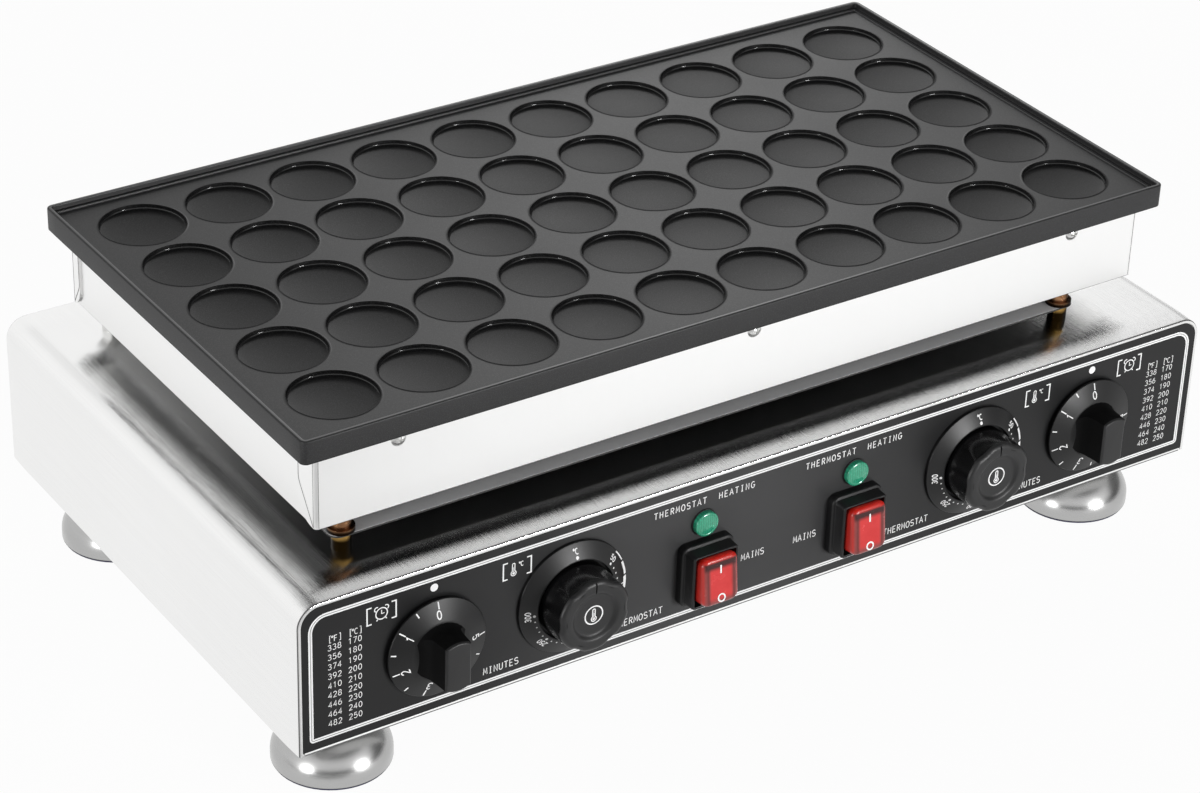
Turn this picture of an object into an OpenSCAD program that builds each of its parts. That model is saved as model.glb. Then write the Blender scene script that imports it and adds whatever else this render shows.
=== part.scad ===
// Electric baker with an open plate of round cups on a heated box above a control cabinet.
// Millimetres, +Z up, controls facing -Y, origin on the floor under the middle of the cabinet.

/* [Baking plate] */
// Cups along the width
cup_columns = 10; // [10:1:14]
// Cups along the depth
cup_rows = 5; // [4:1:7]
// Distance between the centres of neighbouring cups
cup_pitch = 52; // [50:0.5:60]
// Diameter of a cup at the plate's surface
cup_d = 47; // [40:0.5:48]
// Depth of a cup
cup_depth = 5.5; // [4.5:0.5:7]
// Fillet between a cup's wall and its floor
cup_fillet = 4.5; // [1:0.5:4.5]
// Bevel around a cup's mouth
cup_bevel = 0.5; // [0.2:0.1:0.8]
// From the outermost cup centres to the plate's edge
plate_margin = 39; // [36:0.5:50]
// Thickness of the plate below its surface
plate_t = 9.4; // [8.6:0.1:14]
// Corner radius of the plate
plate_r = 4; // [2:0.5:10]
// Height of the rim above the plate's surface
rim_h = 4; // [2.5:0.5:8]
// Thickness of the rim
rim_t = 2.5; // [1.5:0.5:3]
// Width of the ledge inside the rim
ledge_w = 2; // [1:0.5:4]
// Height of the ledge above the plate's surface
ledge_h = 1.2; // [0.6:0.1:1.8]
// Width of the rib under the plate
rib_w = 8; // [6:0.5:12]
// Height of the rib under the plate
rib_h = 14; // [12:0.5:18]

/* [Heater box] */
// Overhang of the plate beyond the box at the left and the right
overhang_x = 10.5; // [6:0.5:20]
// Overhang of the plate beyond the box at the front and the back
overhang_y = 7.5; // [4:0.5:16]
// Height of the box walls
box_h = 44; // [42:1:80]
// Thickness of every bent sheet
sheet_t = 1.2; // [0.8:0.1:1.5]
// Outer radius of the box's upright bends
bend_r = 2; // [1.8:0.1:4]
// Width of the front panel's flanges around the sides
front_flange = 17; // [12:1:30]
// Width of the rear panel's flanges around the sides
rear_flange = 9; // [8:1:30]
// Height of the slanting cut at the foot of a flange
flange_cut = 11; // [6:1:20]
// Width of the folds under panels and walls
fold_w = 15; // [14:1:18]
// From the middle of the box to its outer screws
screw_spread = 215; // [120:1:225]
// From the plate's underside down to the box screws
screw_drop = 5.2; // [5:0.2:7]
// Radius of a box screw's head
screw_head_r = 4.4; // [3.5:0.1:5]
// Radius of the shank of the box screws and the bottom screws
screw_r = 2; // [1.5:0.1:2.5]

/* [Heating] */
// Diameter of the heating tube
element_d = 8; // [6:0.5:10]
// Runs of heating tube under each half of the plate
element_runs = 4; // [4:2:4]
// Width of a clamp bar under the tubes
clamp_w = 16; // [14:1:24]
// Thickness of a clamp bar
clamp_t = 3; // [2:0.5:4]
// Diameter of a thermostat's sensor bulb
bulb_d = 6; // [4:0.5:7]
// Length of a thermostat's sensor bulb
bulb_l = 80; // [40:5:100]
// Diameter of the thin tube to the sensor bulb
line_d = 2.2; // [1.6:0.2:2.6]
// Thickness of the insulation on the box floor
insulation_t = 18; // [10:1:20]

/* [Posts and shield] */
// Height of the gap between cabinet and heater box
box_gap = 19; // [17:0.5:60]
// From the left edge of the box to the left posts
post_in_left = 18.5; // [18:0.5:40]
// From the right edge of the box to the right posts
post_in_right = 45.5; // [18:0.5:60]
// From the front and the back of the box to the posts
post_in_y = 7.5; // [7.2:0.1:8]
// Outer diameter of a post's tube
post_d = 8; // [7:0.5:9]
// Bore of a post for the wires
post_bore_d = 5.4; // [4:0.2:6]
// Diameter of a post's shoulder under the shield
shoulder_d = 10.6; // [10:0.2:14]
// Diameter of the collar on the shield
collar_d = 14.6; // [13:0.2:20]
// Height of the collar's flange
collar_t = 2.6; // [1.5:0.1:4]
// Diameter of a post's lock nuts
nut_d = 11; // [10.5:0.1:11.5]
// Height of a post's lock nuts
nut_h = 5; // [3:0.5:6]
// From the cabinet's top to the underside of the shield
shield_gap = 9; // [6:0.5:12]
// Shield beyond the middle of the posts at the left and the right
shield_edge_x = 8; // [7.5:0.5:15]
// Shield beyond the middle of the posts at the front and the back
shield_edge_y = 6; // [5.5:0.5:7]

/* [Cabinet] */
// Cabinet beyond the plate at the left and the right
cabinet_over_x = 18; // [16:1:60]
// Cabinet beyond the plate at the front and the back
cabinet_over_y = 23.5; // [20:0.5:60]
// Height of the cabinet
cabinet_h = 89; // [88:1:140]
// Radius of the cabinet's long top edges
cabinet_r = 13; // [8:0.5:16]
// Width of the lip around the front and rear openings
lip_w = 2.5; // [2:0.1:3]
// Clearance of pieces that are let into an opening
fit = 0.2; // [0.1:0.05:0.4]
// Depth of the returns behind the front and rear panels
panel_return = 10; // [6:1:14]
// Thickness of the printed overlay
overlay_t = 0.4; // [0.2:0.1:0.8]
// From the cabinet's underside to the overlay's lower edge
overlay_low = 1.4; // [1:0.1:3]
// Distance between the bottom screws along a side
bottom_screw_pitch = 85; // [60:1:95]
// Number of vent slots in each group of the bottom plate
vent_slots = 7; // [3:1:9]
// Length of a vent slot
vent_l = 60; // [30:1:80]
// Width of a vent slot
vent_w = 4; // [2:0.5:6]
// Distance between neighbouring vent slots
vent_pitch = 12; // [8:1:14]

/* [Feet] */
// Diameter of a foot's bell
foot_d = 64; // [56:1:72]
// Height of the cabinet above the floor
foot_h = 41; // [36:1:70]
// Height of the straight part of the bell above the floor
bell_low = 5; // [4:0.5:10]
// Radius of the bell's shoulder
bell_r = 20; // [15:0.5:21]
// Wall of the bell
bell_wall = 2.5; // [1.5:0.5:4]
// Diameter of the neck above the bell
neck_d = 18; // [16:1:22]
// Thickness of the rubber pad below the bell
pad_t = 2.2; // [1.5:0.1:3]
// From the cabinet's side to the feet
foot_in_x = 43; // [38:1:60]
// From the cabinet's front and back to the feet
foot_in_y = 43.5; // [38:0.5:60]
// Diameter of a foot's bolt
foot_bolt_d = 8; // [6:1:10]

/* [Timers] */
// From the cabinet's side to a timer
timer_in = 78.5; // [76:0.5:90]
// Height of a timer above the cabinet's underside
timer_z = 41; // [38:0.5:60]
// Diameter of the timer knob's skirt
timer_d = 57; // [50:0.5:62]
// Diameter of the timer knob's hub
timer_hub_d = 31; // [26:0.5:36]
// Thickness of the skirt at its edge
skirt_t = 1.4; // [1:0.1:2]
// Height of the skirt at the hub
skirt_h = 5; // [3:0.5:8]
// Width of the grip bar
grip_w = 14; // [10:0.5:20]
// Spread of the grip bar's flanks where they meet the hub
grip_flare = 4; // [1:0.5:5]
// Draft of the grip bar's round ends over its height
grip_draft = 1.6; // [0.5:0.1:3]
// Reach of the grip bar from the overlay
timer_reach = 24; // [20:0.5:30]
// Diameter of the timer's body
timer_body_d = 48; // [40:1:56]

/* [Thermostats] */
// From a timer to its thermostat
thermostat_gap = 81.5; // [75:0.5:90]
// Height of a thermostat above the cabinet's underside
thermostat_z = 43; // [42:0.5:60]
// Diameter of the dial bezel
bezel_d = 65.5; // [62:0.5:72]
// Height of the bezel at its edge
bezel_low = 1.8; // [1.4:0.1:3]
// Height of the bezel at the knob
bezel_high = 5.6; // [4:0.2:7]
// Width of the bezel's flat crest at the knob
bezel_crest = 0.8; // [0.4:0.1:2]
// Floor of the bezel under the knob
bezel_floor = 1.2; // [1:0.1:1.6]
// Diameter of the thermostat knob
knob_d = 43.4; // [40:0.2:48]
// Gap between the thermostat knob and its bezel
bezel_gap = 1.4; // [0.8:0.1:2]
// Reach of the thermostat knob from the overlay
knob_reach = 23.6; // [20:0.2:30]
// Lobes around the thermostat knob
knob_lobes = 6; // [5:1:8]
// Depth of the flutes between the lobes
flute_depth = 1.8; // [1:0.2:3]
// Radius of the flutes
flute_r = 17; // [12:1:24]
// Radius of the knob's front edge
knob_edge_r = 2; // [1:0.2:3]
// Depth of the dish in the knob's face
dish_depth = 1.7; // [0.6:0.1:2]
// Radius of the dish in the knob's face
dish_r = 11.5; // [8:0.5:12]
// Width of the pointer groove
pointer_w = 1.2; // [0.6:0.1:2]
// Side of the thermostat's square body
thermostat_body = 40; // [34:1:50]

/* [Shafts] */
// Diameter of the control shafts
shaft_d = 6; // [5:0.5:7]
// Radial clearance of a shaft in its bush
shaft_play = 0.05; // [0.02:0.01:0.09]
// Diameter of the bush that holds a control in the panel
bush_d = 10; // [9:0.5:12]
// Reach of the bush beyond the overlay
bush_reach = 0.9; // [0.6:0.1:1]
// Gap between a knob and what it turns over
knob_gap = 0.7; // [0.4:0.1:1]
// Depth of the bodies behind the panel
body_depth = 30; // [24:1:32]
// Depth of a shaft inside its body
shaft_in = 12; // [8:1:20]
// Depth of a shaft inside its knob
shaft_out = 14; // [10:1:16]

/* [Switches and lamps] */
// From the middle of the cabinet to a switch
switch_x = 48.6; // [40:0.2:52]
// Height of a switch above the cabinet's underside
switch_z = 32.5; // [30:0.5:40]
// Width of the rocker
rocker_w = 24; // [18:0.5:25]
// Radius of the rocker about its pivot
rocker_r = 14.2; // [11:0.2:14.6]
// Reach of the rocker's pivot from the overlay
rocker_pivot = 10.5; // [9:0.5:12]
// Height of the rocker's ends above its pivot
rocker_end = 4.2; // [3.5:0.1:5]
// Height of the rocker's middle above its pivot
rocker_mid = 2.6; // [2:0.1:3]
// Corner radius of the rocker's face
rocker_corner_r = 3; // [1:0.5:5]
// Tilt of the rocker at rest
rocker_tilt = 12.5; // [8:0.5:14]
// Gap around the rocker
rocker_gap = 0.5; // [0.4:0.1:0.8]
// Radius of the rocker's trunnions
trunnion_r = 1.5; // [1:0.1:2]
// Wall of the switch frame
frame_wall = 2; // [1.8:0.1:3]
// Reach of the switch frame from the overlay
frame_reach = 12.5; // [11:0.5:14]
// Height of the frame's lower step
frame_step = 5; // [3:0.5:7]
// Width of the frame's lower step
frame_brim = 2; // [1:0.2:2.5]
// Depth of the switch behind the panel
switch_depth = 24; // [18:1:32]
// From the middle of the cabinet to a lamp
lamp_x = 49; // [40:0.5:56]
// Height of a lamp above the cabinet's underside
lamp_z = 60.8; // [60:0.2:72]
// Diameter of the lamp's surround
lamp_d = 16.4; // [14:0.2:17]
// Diameter of the lamp's lens
lens_d = 14; // [11:0.2:14]
// Thickness of the lamp's surround
lamp_rim = 1.5; // [1:0.1:2]
// Reach of the lens from the overlay
lens_reach = 4.4; // [3.6:0.2:6]
// Diameter of the lamp's barrel
barrel_d = 10; // [8:0.5:11]

/* [Supply] */
// From the middle of the cabinet to the gland
gland_x = 200; // [120:1:220]
// Height of the gland above the cabinet's underside
gland_z = 32; // [24:1:50]
// Bore of the gland for the cord
gland_bore_d = 10; // [7:0.5:11]
// Diameter of the gland's thread
gland_thread_d = 16; // [14:0.5:18]
// Reach of the gland from the rear panel
gland_reach = 24; // [20:0.5:30]
// Number of ways of the terminal block
terminal_ways = 4; // [2:1:6]
// Width of a way of the terminal block
terminal_pitch = 14; // [10:1:18]
// Depth of the terminal block
terminal_d = 24; // [18:1:30]
// Height of the terminal block below its dividers
terminal_h = 12; // [8:1:16]

/* [Hidden] */
$fn = 48;
// Thin overlap that keeps cut faces clear of the faces they cut
cut = 0.5;
// Seating gap between pieces that lie on each other
seat = 0.1;
// Thread that stands beyond a post's lock nut
thread_end = 2;
// Room around the insulation and beside the heating tubes
room = 1;

plate_w = (cup_columns - 1) * cup_pitch + 2 * plate_margin;
plate_d = (cup_rows - 1) * cup_pitch + 2 * plate_margin;
box_w = plate_w - 2 * overhang_x;
box_d = plate_d - 2 * overhang_y;
cabinet_w = plate_w + 2 * cabinet_over_x;
cabinet_d = plate_d + 2 * cabinet_over_y;

cabinet_z = foot_h;
cabinet_top = cabinet_z + cabinet_h;
box_z = cabinet_top + box_gap;
plate_z = box_z + box_h;
plate_top = plate_z + plate_t;
shield_z = cabinet_top + shield_gap;

// Inside faces of the heater box walls and the rib that fits between them
box_in_x = box_w / 2 - 2 * sheet_t - fit;
box_in_y = box_d / 2 - sheet_t - fit;
rib_in_x = box_in_x - rib_w;
rib_in_y = box_in_y - rib_w;
floor_top = box_z + 2 * sheet_t;

post_x = [-box_w / 2 + post_in_left, box_w / 2 - post_in_right];
post_y = box_d / 2 - post_in_y;
post_hole_r = post_d / 2 + fit;
foot_x = cabinet_w / 2 - foot_in_x;
foot_y = cabinet_d / 2 - foot_in_y;
bell_top = bell_low + bell_r;

// Heating tube under one half of the plate
run_pitch = 2 * (rib_in_y - element_d - 4 * room) / element_runs;
run_r = run_pitch / 2;
run_near = run_r + element_d;
run_far = rib_in_x - element_d - 8 * room;
element_z = plate_z - seat - element_d / 2;
boss_h = element_d + 2 * seat;
boss_r = 3 * screw_r;
clamp_z = plate_z - boss_h - clamp_t;
clamp_x = [run_near + clamp_w, run_far - run_r - clamp_w];

// Printed face of the control panel and the layers behind it
face_y = -cabinet_d / 2 + seat;
panel_y = face_y + overlay_t;
panel_back = overlay_t + sheet_t;
panel_inset = lip_w + fit;
rear_y = cabinet_d / 2 - seat;
corner_room = seat + panel_back + fold_w + 2 * fit;

timer_x = cabinet_w / 2 - timer_in;
thermostat_x = timer_x - thermostat_gap;
bush_hole_r = bush_d / 2 + fit;
skirt_z = bush_reach + knob_gap;
knob_z = bezel_floor + knob_gap;
bezel_in_r = knob_d / 2 + bezel_gap;
frame_w = rocker_w + 2 * rocker_gap + 2 * frame_wall;
frame_h = 2 * (rocker_r + rocker_gap + frame_wall);
stub_d = 0.64 * lens_d;

// Rectangle with round corners, centred
module rounded_rect(w, d, r) {
  square([w - 2 * r, d], center = true);
  square([w, d - 2 * r], center = true);
  for (x = [-1, 1], y = [-1, 1]) translate([x * (w / 2 - r), y * (d / 2 - r)]) circle(r);
}

// Upright outline with round top corners, standing on its lower edge
module rounded_top(w, h, r) {
  translate([-w / 2, 0]) square([w, h - r]);
  translate([-w / 2 + r, 0]) square([w - 2 * r, h]);
  for (x = [-1, 1]) translate([x * (w / 2 - r), h - r]) circle(r);
}

// Outline of the cabinet, taken in by an inset at the top and the sides
module cabinet_outline(inset) rounded_top(cabinet_w - 2 * inset, cabinet_h - inset, cabinet_r - inset);

// Same outline carried below the cabinet's underside, for cutting
module cabinet_opening(inset) translate([0, -cut])
  rounded_top(cabinet_w - 2 * inset, cabinet_h - inset + cut, cabinet_r - inset);

// Sets an upright outline between two places along Y, standing on the cabinet's underside
module upright(y0, y1) translate([0, y1, cabinet_z]) rotate([90, 0, 0]) linear_extrude(y1 - y0) children();

// Places a piece on the printed face: x to the right, y up, z out of the panel
module on_panel(x, z) translate([x, face_y, cabinet_z + z]) rotate([90, 0, 0]) children();

// Places a piece on the outside of the rear panel, z out of the panel
module on_rear(x, z) translate([x, rear_y, cabinet_z + z]) rotate([-90, 0, 0]) children();

// Extrudes an outline of height and reach across the panel, centred
module across(w) rotate([90, 0, 90]) linear_extrude(w, center = true) children();

module tube(r_out, r_in, h) difference() {
  cylinder(r = r_out, h = h);
  translate([0, 0, -cut]) cylinder(r = r_in, h = h + 2 * cut);
}

// Round-headed screw with a crossed recess, head on z = 0 and shank below
module pan_screw(head_r, head_h, shank_r, shank_l) {
  dome_r = (head_r * head_r + head_h * head_h) / (2 * head_h);
  slot_l = 1.1 * head_r;
  slot_w = 0.22 * head_r;
  difference() {
    intersection() {
      translate([0, 0, head_h - dome_r]) sphere(dome_r);
      cylinder(r = head_r, h = head_h);
    }
    for (turn = [0, 90]) rotate([0, 0, turn])
      translate([-slot_l / 2, -slot_w / 2, head_h * 0.45]) cube([slot_l, slot_w, head_h]);
  }
  translate([0, 0, -shank_l]) cylinder(r = shank_r, h = shank_l);
}

// Round pipe through a list of points, with a ball at every turn
module pipe(points, r) {
  for (i = [0:len(points) - 2]) {
    step = points[i + 1] - points[i];
    translate(points[i]) rotate([0, acos(step.z / norm(step)), atan2(step.y, step.x)])
      cylinder(r = r, h = norm(step), $fn = 24);
  }
  for (i = [1:len(points) - 2]) translate(points[i]) sphere(1.2 * r, $fn = 24);
}

module at_posts() for (x = post_x, y = [-post_y, post_y]) translate([x, y, 0]) children();
module at_feet() for (x = [-foot_x, foot_x], y = [-foot_y, foot_y]) translate([x, y, 0]) children();

// Places the screws that hold front and rear panel to the plate's rib, heads out
module at_box_screws() for (end = [-1, 1], x = [-screw_spread, 0, screw_spread])
  translate([x, end * box_d / 2, plate_z - screw_drop]) rotate([-end * 90, 0, 0]) children();

// Places the screws that hold the bottom plate to the folds of the shell, heads down
module at_bottom_screws() for (side = [-1, 1], i = [-1:1])
  translate([side * (cabinet_w / 2 - fold_w / 2), i * bottom_screw_pitch, cabinet_z])
    rotate([180, 0, 0]) children();

// Places the screws of the clamp bars under the plate
module at_clamp_screws() for (side = [-1, 1], x = clamp_x, y = [-run_pitch, run_pitch])
  translate([side * x, y, clamp_z]) children();

// Cabinet

module base_shell() color("gainsboro") difference() {
  union() {
    upright(-cabinet_d / 2, cabinet_d / 2) difference() {
      cabinet_outline(0);
      cabinet_opening(sheet_t);
    }
    for (y = [-cabinet_d / 2, cabinet_d / 2 - sheet_t]) upright(y, y + sheet_t) difference() {
      cabinet_outline(0);
      cabinet_opening(lip_w);
    }
    for (side = [-1, 1]) translate([side * (cabinet_w - fold_w) / 2, 0, cabinet_z + sheet_t / 2])
      cube([fold_w, cabinet_d - 2 * corner_room, sheet_t], center = true);
  }
  at_posts() translate([0, 0, cabinet_top - sheet_t - cut])
    cylinder(r = post_hole_r, h = sheet_t + 2 * cut);
  at_bottom_screws() translate([0, 0, -sheet_t - cut]) cylinder(r = screw_r + fit, h = sheet_t + 2 * cut);
}

// Tray-shaped panel between two places along Y, with its fold at the side of fold_dir
module panel_tray(y0, fold_dir) {
  y_in = fold_dir > 0 ? y0 : y0 + sheet_t;
  upright(y0, y0 + sheet_t) cabinet_outline(panel_inset);
  upright(fold_dir > 0 ? y0 : y_in - panel_return, fold_dir > 0 ? y0 + panel_return : y_in) difference() {
    cabinet_outline(panel_inset);
    cabinet_opening(panel_inset + sheet_t);
  }
  fold_x = cabinet_w - 2 * (panel_inset + sheet_t);
  translate([-fold_x / 2, fold_dir > 0 ? y0 : y_in - fold_w, cabinet_z]) cube([fold_x, fold_w, sheet_t]);
}

module panel_holes() {
  for (side = [-1, 1]) {
    for (place = [[timer_x, timer_z], [thermostat_x, thermostat_z]])
      on_panel(side * place.x, place.y) translate([0, 0, -panel_back - cut])
        cylinder(r = bush_hole_r, h = panel_back + 2 * cut);
    on_panel(side * lamp_x, lamp_z) translate([0, 0, -panel_back - cut])
      cylinder(d = barrel_d + 2 * fit, h = panel_back + 2 * cut);
    on_panel(side * switch_x, switch_z) translate([0, 0, -panel_back - cut])
      linear_extrude(panel_back + 2 * cut) square([frame_w + 2 * fit, frame_h + 2 * fit], center = true);
  }
}

module control_panel() color("silver") difference() {
  panel_tray(panel_y, 1);
  panel_holes();
}

module panel_overlay() color("#1b1b1d") difference() {
  upright(face_y, panel_y) difference() {
    cabinet_outline(panel_inset + fit);
    translate([-cabinet_w / 2, -cut]) square([cabinet_w, overlay_low + cut]);
  }
  panel_holes();
}

module rear_panel() color("silver") difference() {
  panel_tray(rear_y - sheet_t, -1);
  on_rear(gland_x, gland_z) translate([0, 0, -sheet_t - cut])
    cylinder(d = gland_thread_d + 2 * fit, h = sheet_t + 2 * cut);
}

module bottom_plate() color("darkgray") difference() {
  w = cabinet_w - 2 * (panel_inset + sheet_t + fit);
  front = panel_y + sheet_t + fit;
  back = rear_y - sheet_t - fit;
  translate([-w / 2, front, cabinet_z + sheet_t]) cube([w, back - front, sheet_t]);
  translate([0, 0, cabinet_z + sheet_t - cut]) {
    at_feet() cylinder(d = foot_bolt_d + 2 * fit, h = sheet_t + 2 * cut);
    for (side = [-1, 1], i = [0:vent_slots - 1])
      translate([side * cabinet_w / 5 + (i - (vent_slots - 1) / 2) * vent_pitch, 0, sheet_t / 2 + cut])
        cube([vent_w, vent_l, sheet_t + 2 * cut], center = true);
  }
  at_bottom_screws() translate([0, 0, -2 * sheet_t - cut])
    cylinder(r = screw_r + fit, h = sheet_t + 2 * cut);
}

module bottom_screws() color("silver") at_bottom_screws()
  pan_screw(2 * screw_r, 1.2 * screw_r, screw_r, 4 * sheet_t);

// Feet

// Half outline of the bell, taken in by a wall
module bell_outline(wall) {
  r = foot_d / 2 - wall;
  shoulder = bell_r - wall;
  square([r, bell_low]);
  square([r - shoulder, bell_low + shoulder]);
  intersection() {
    translate([r - shoulder, bell_low]) circle(shoulder);
    translate([0, bell_low]) square([r, shoulder]);
  }
}

module foot(x, y) color("lightgray") translate([x * foot_x, y * foot_y, 0]) difference() {
  union() {
    rotate_extrude() difference() {
      bell_outline(0);
      bell_outline(bell_wall);
      square([foot_d / 2 + cut, pad_t]);
    }
    translate([0, 0, bell_top - bell_wall])
      cylinder(d = neck_d, h = cabinet_z + sheet_t - bell_top + bell_wall);
  }
  translate([0, 0, bell_low]) cylinder(d = foot_bolt_d + 2 * fit, h = foot_h);
}

module foot_front_left() foot(-1, -1);
module foot_front_right() foot(1, -1);
module foot_rear_left() foot(-1, 1);
module foot_rear_right() foot(1, 1);

module foot_pads() color("#20233a") at_feet() {
  cylinder(r = foot_d / 2 - 0.3 * bell_wall, h = pad_t);
  cylinder(r = foot_d / 2 - bell_wall - fit, h = 2 * pad_t);
}

module foot_bolts() color("silver") at_feet() {
  head_h = 0.65 * foot_bolt_d;
  low = bell_top - bell_wall - head_h;
  high = cabinet_z + 2 * sheet_t + 1.2 * foot_bolt_d;
  translate([0, 0, low]) {
    cylinder(r = 0.9 * foot_bolt_d, h = head_h, $fn = 6);
    cylinder(d = foot_bolt_d, h = high - low);
  }
}

module foot_nuts() color("silver") at_feet() translate([0, 0, cabinet_z + 2 * sheet_t]) difference() {
  cylinder(r = 0.9 * foot_bolt_d, h = 0.8 * foot_bolt_d, $fn = 6);
  translate([0, 0, -cut]) cylinder(d = foot_bolt_d + fit, h = foot_bolt_d);
}

// Posts and shield

module post(i, y) color("#c9a24a") translate([post_x[i], y * post_y, 0]) difference() {
  low = cabinet_top - sheet_t - nut_h - thread_end;
  high = floor_top + nut_h + thread_end;
  union() {
    translate([0, 0, low]) cylinder(d = post_d, h = high - low);
    translate([0, 0, cabinet_top]) cylinder(d = shoulder_d, h = shield_gap);
  }
  translate([0, 0, low - cut]) cylinder(d = post_bore_d, h = high - low + 2 * cut);
}

module post_front_left() post(0, -1);
module post_front_right() post(1, -1);
module post_rear_left() post(0, 1);
module post_rear_right() post(1, 1);

module post_collars() color("#b5793c") at_posts() translate([0, 0, shield_z + sheet_t]) difference() {
  union() {
    cylinder(d = collar_d, h = collar_t);
    cylinder(d = shoulder_d, h = box_z - shield_z - sheet_t);
  }
  translate([0, 0, -cut]) cylinder(d = post_d + fit, h = box_gap);
}

module post_nuts() color("#c9a24a") at_posts() for (z = [cabinet_top - sheet_t - nut_h, floor_top])
  translate([0, 0, z]) tube(nut_d / 2, post_d / 2 + fit / 2, nut_h);

module heat_shield() color("darkgray") difference() {
  w = post_x[1] - post_x[0] + 2 * shield_edge_x;
  d = 2 * (post_y + shield_edge_y);
  translate([(post_x[0] + post_x[1]) / 2, 0, shield_z]) linear_extrude(sheet_t)
    rounded_rect(w, d, min(shield_edge_x, shield_edge_y));
  at_posts() translate([0, 0, shield_z - cut]) cylinder(r = post_hole_r, h = sheet_t + 2 * cut);
}

// Heater box

// Plan of the skin around the box
module box_skin() difference() {
  rounded_rect(box_w, box_d, bend_r);
  rounded_rect(box_w - 2 * sheet_t, box_d - 2 * sheet_t, bend_r - sheet_t);
}

// Front panel of the box with its flanges wrapped around the sides; the rear one is its mirror image
module box_wrap(flange) difference() {
  front = -box_d / 2;
  union() {
    difference() {
      translate([0, 0, box_z]) linear_extrude(box_h) intersection() {
        box_skin();
        translate([-box_w / 2, front]) square([box_w, flange]);
      }
      translate([0, front + flange, box_z]) across(box_w + 2 * cut)
        polygon(concat([[cut, -cut], [cut, flange_cut]],
          [for (a = [0:15:90]) [-(flange - bend_r) * (1 - cos(a)), flange_cut * (1 - sin(a))]],
          [[-(flange - bend_r), -cut]]));
    }
    translate([-box_in_x, front + sheet_t / 2, box_z]) cube([2 * box_in_x, fold_w - sheet_t / 2, sheet_t]);
  }
  at_posts() translate([0, 0, box_z - cut]) cylinder(r = post_hole_r, h = sheet_t + 2 * cut);
  at_box_screws() translate([0, 0, -sheet_t - cut]) cylinder(r = screw_r + fit, h = sheet_t + 2 * cut);
}

module box_front_panel() color("whitesmoke") box_wrap(front_flange);
module box_rear_panel() color("whitesmoke") mirror([0, 1, 0]) box_wrap(rear_flange);

module box_side(side) color("whitesmoke") mirrored(side) {
  depth = box_d - 2 * sheet_t;
  translate([box_w / 2 - 2 * sheet_t, -depth / 2, box_z]) cube([sheet_t, depth, box_h]);
  fold_d = box_d - 2 * (fold_w + fit);
  translate([box_w / 2 - sheet_t - fold_w, -fold_d / 2, box_z]) cube([fold_w, fold_d, sheet_t]);
}

// Mirrors what is drawn on the right to the left where side is -1
module mirrored(side) mirror([side < 0 ? 1 : 0, 0, 0]) children();

module box_left_panel() box_side(-1);
module box_right_panel() box_side(1);

module box_screws() color("silver") at_box_screws()
  pan_screw(screw_head_r, 0.55 * screw_head_r, screw_r, sheet_t + 0.7 * rib_w);

module box_floor() color("darkgray") difference() {
  translate([-box_in_x, -box_in_y, box_z + sheet_t]) cube([2 * box_in_x, 2 * box_in_y, sheet_t]);
  at_posts() translate([0, 0, box_z]) cylinder(r = post_hole_r, h = 2 * sheet_t + cut);
}

module insulation_slab() color("ivory") {
  x = box_in_x - room;
  y = post_y - nut_d / 2 - room;
  translate([-x, -y, floor_top]) cube([2 * x, 2 * y, insulation_t]);
}

// Baking plate

module cup() rotate_extrude() {
  r = cup_d / 2;
  translate([0, -cup_depth]) square([r - cup_fillet, cup_depth + cut]);
  translate([0, -cup_depth + cup_fillet]) square([r, cup_depth - cup_fillet + cut]);
  translate([r - cup_fillet, -cup_depth + cup_fillet]) circle(cup_fillet);
  polygon([[0, -cup_bevel], [r, -cup_bevel], [r + cup_bevel + cut, cut], [0, cut]]);
}

module baking_plate() color("#3c3d40") difference() {
  union() {
    translate([0, 0, plate_z]) linear_extrude(plate_t + rim_h) rounded_rect(plate_w, plate_d, plate_r);
    translate([0, 0, plate_z - rib_h]) linear_extrude(rib_h) difference() {
      square([2 * box_in_x, 2 * box_in_y], center = true);
      square([2 * rib_in_x, 2 * rib_in_y], center = true);
    }
    at_clamp_screws() translate([0, 0, clamp_t]) cylinder(r = boss_r, h = boss_h);
  }
  for (step = [[rim_t, ledge_h], [rim_t + ledge_w, 0]])
    translate([0, 0, plate_top + step.y]) linear_extrude(rim_h)
      rounded_rect(plate_w - 2 * step.x, plate_d - 2 * step.x, max(plate_r - step.x, 1));
  middle = [(cup_columns - 1) / 2, (cup_rows - 1) / 2];
  for (i = [0:cup_columns - 1], j = [0:cup_rows - 1])
    translate([(i - middle.x) * cup_pitch, (j - middle.y) * cup_pitch, plate_top]) cup();
  at_box_screws() translate([0, 0, -sheet_t - 0.8 * rib_w])
    cylinder(r = screw_r + fit / 4, h = 0.8 * rib_w);
  at_clamp_screws() cylinder(r = screw_r + fit / 4, h = clamp_t + 0.85 * boss_h);
}

// Heating

module heating_element(side) color("#6f6a66") mirrored(side) translate([0, 0, element_z]) {
  for (i = [0:element_runs - 1]) {
    y = (i - (element_runs - 1) / 2) * run_pitch;
    far = i == 0 || i == element_runs - 1 ? run_far : run_far - run_r;
    translate([run_near, y, 0]) rotate([0, 90, 0]) cylinder(d = element_d, h = far - run_near);
  }
  for (i = [0:element_runs - 2]) {
    near = i % 2 == 0;
    translate([near ? run_near : run_far - run_r, (i + 1 - element_runs / 2) * run_pitch, 0])
      rotate([0, 0, near ? 90 : -90]) rotate_extrude(angle = 180)
        translate([run_r, 0]) circle(d = element_d);
  }
  for (y = [-1, 1]) translate([run_far, y * (element_runs - 1) / 2 * run_pitch, 0])
    rotate([0, 90, 0]) cylinder(d = element_d / 2, h = element_d);
}

module heating_element_left() heating_element(-1);
module heating_element_right() heating_element(1);

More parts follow.
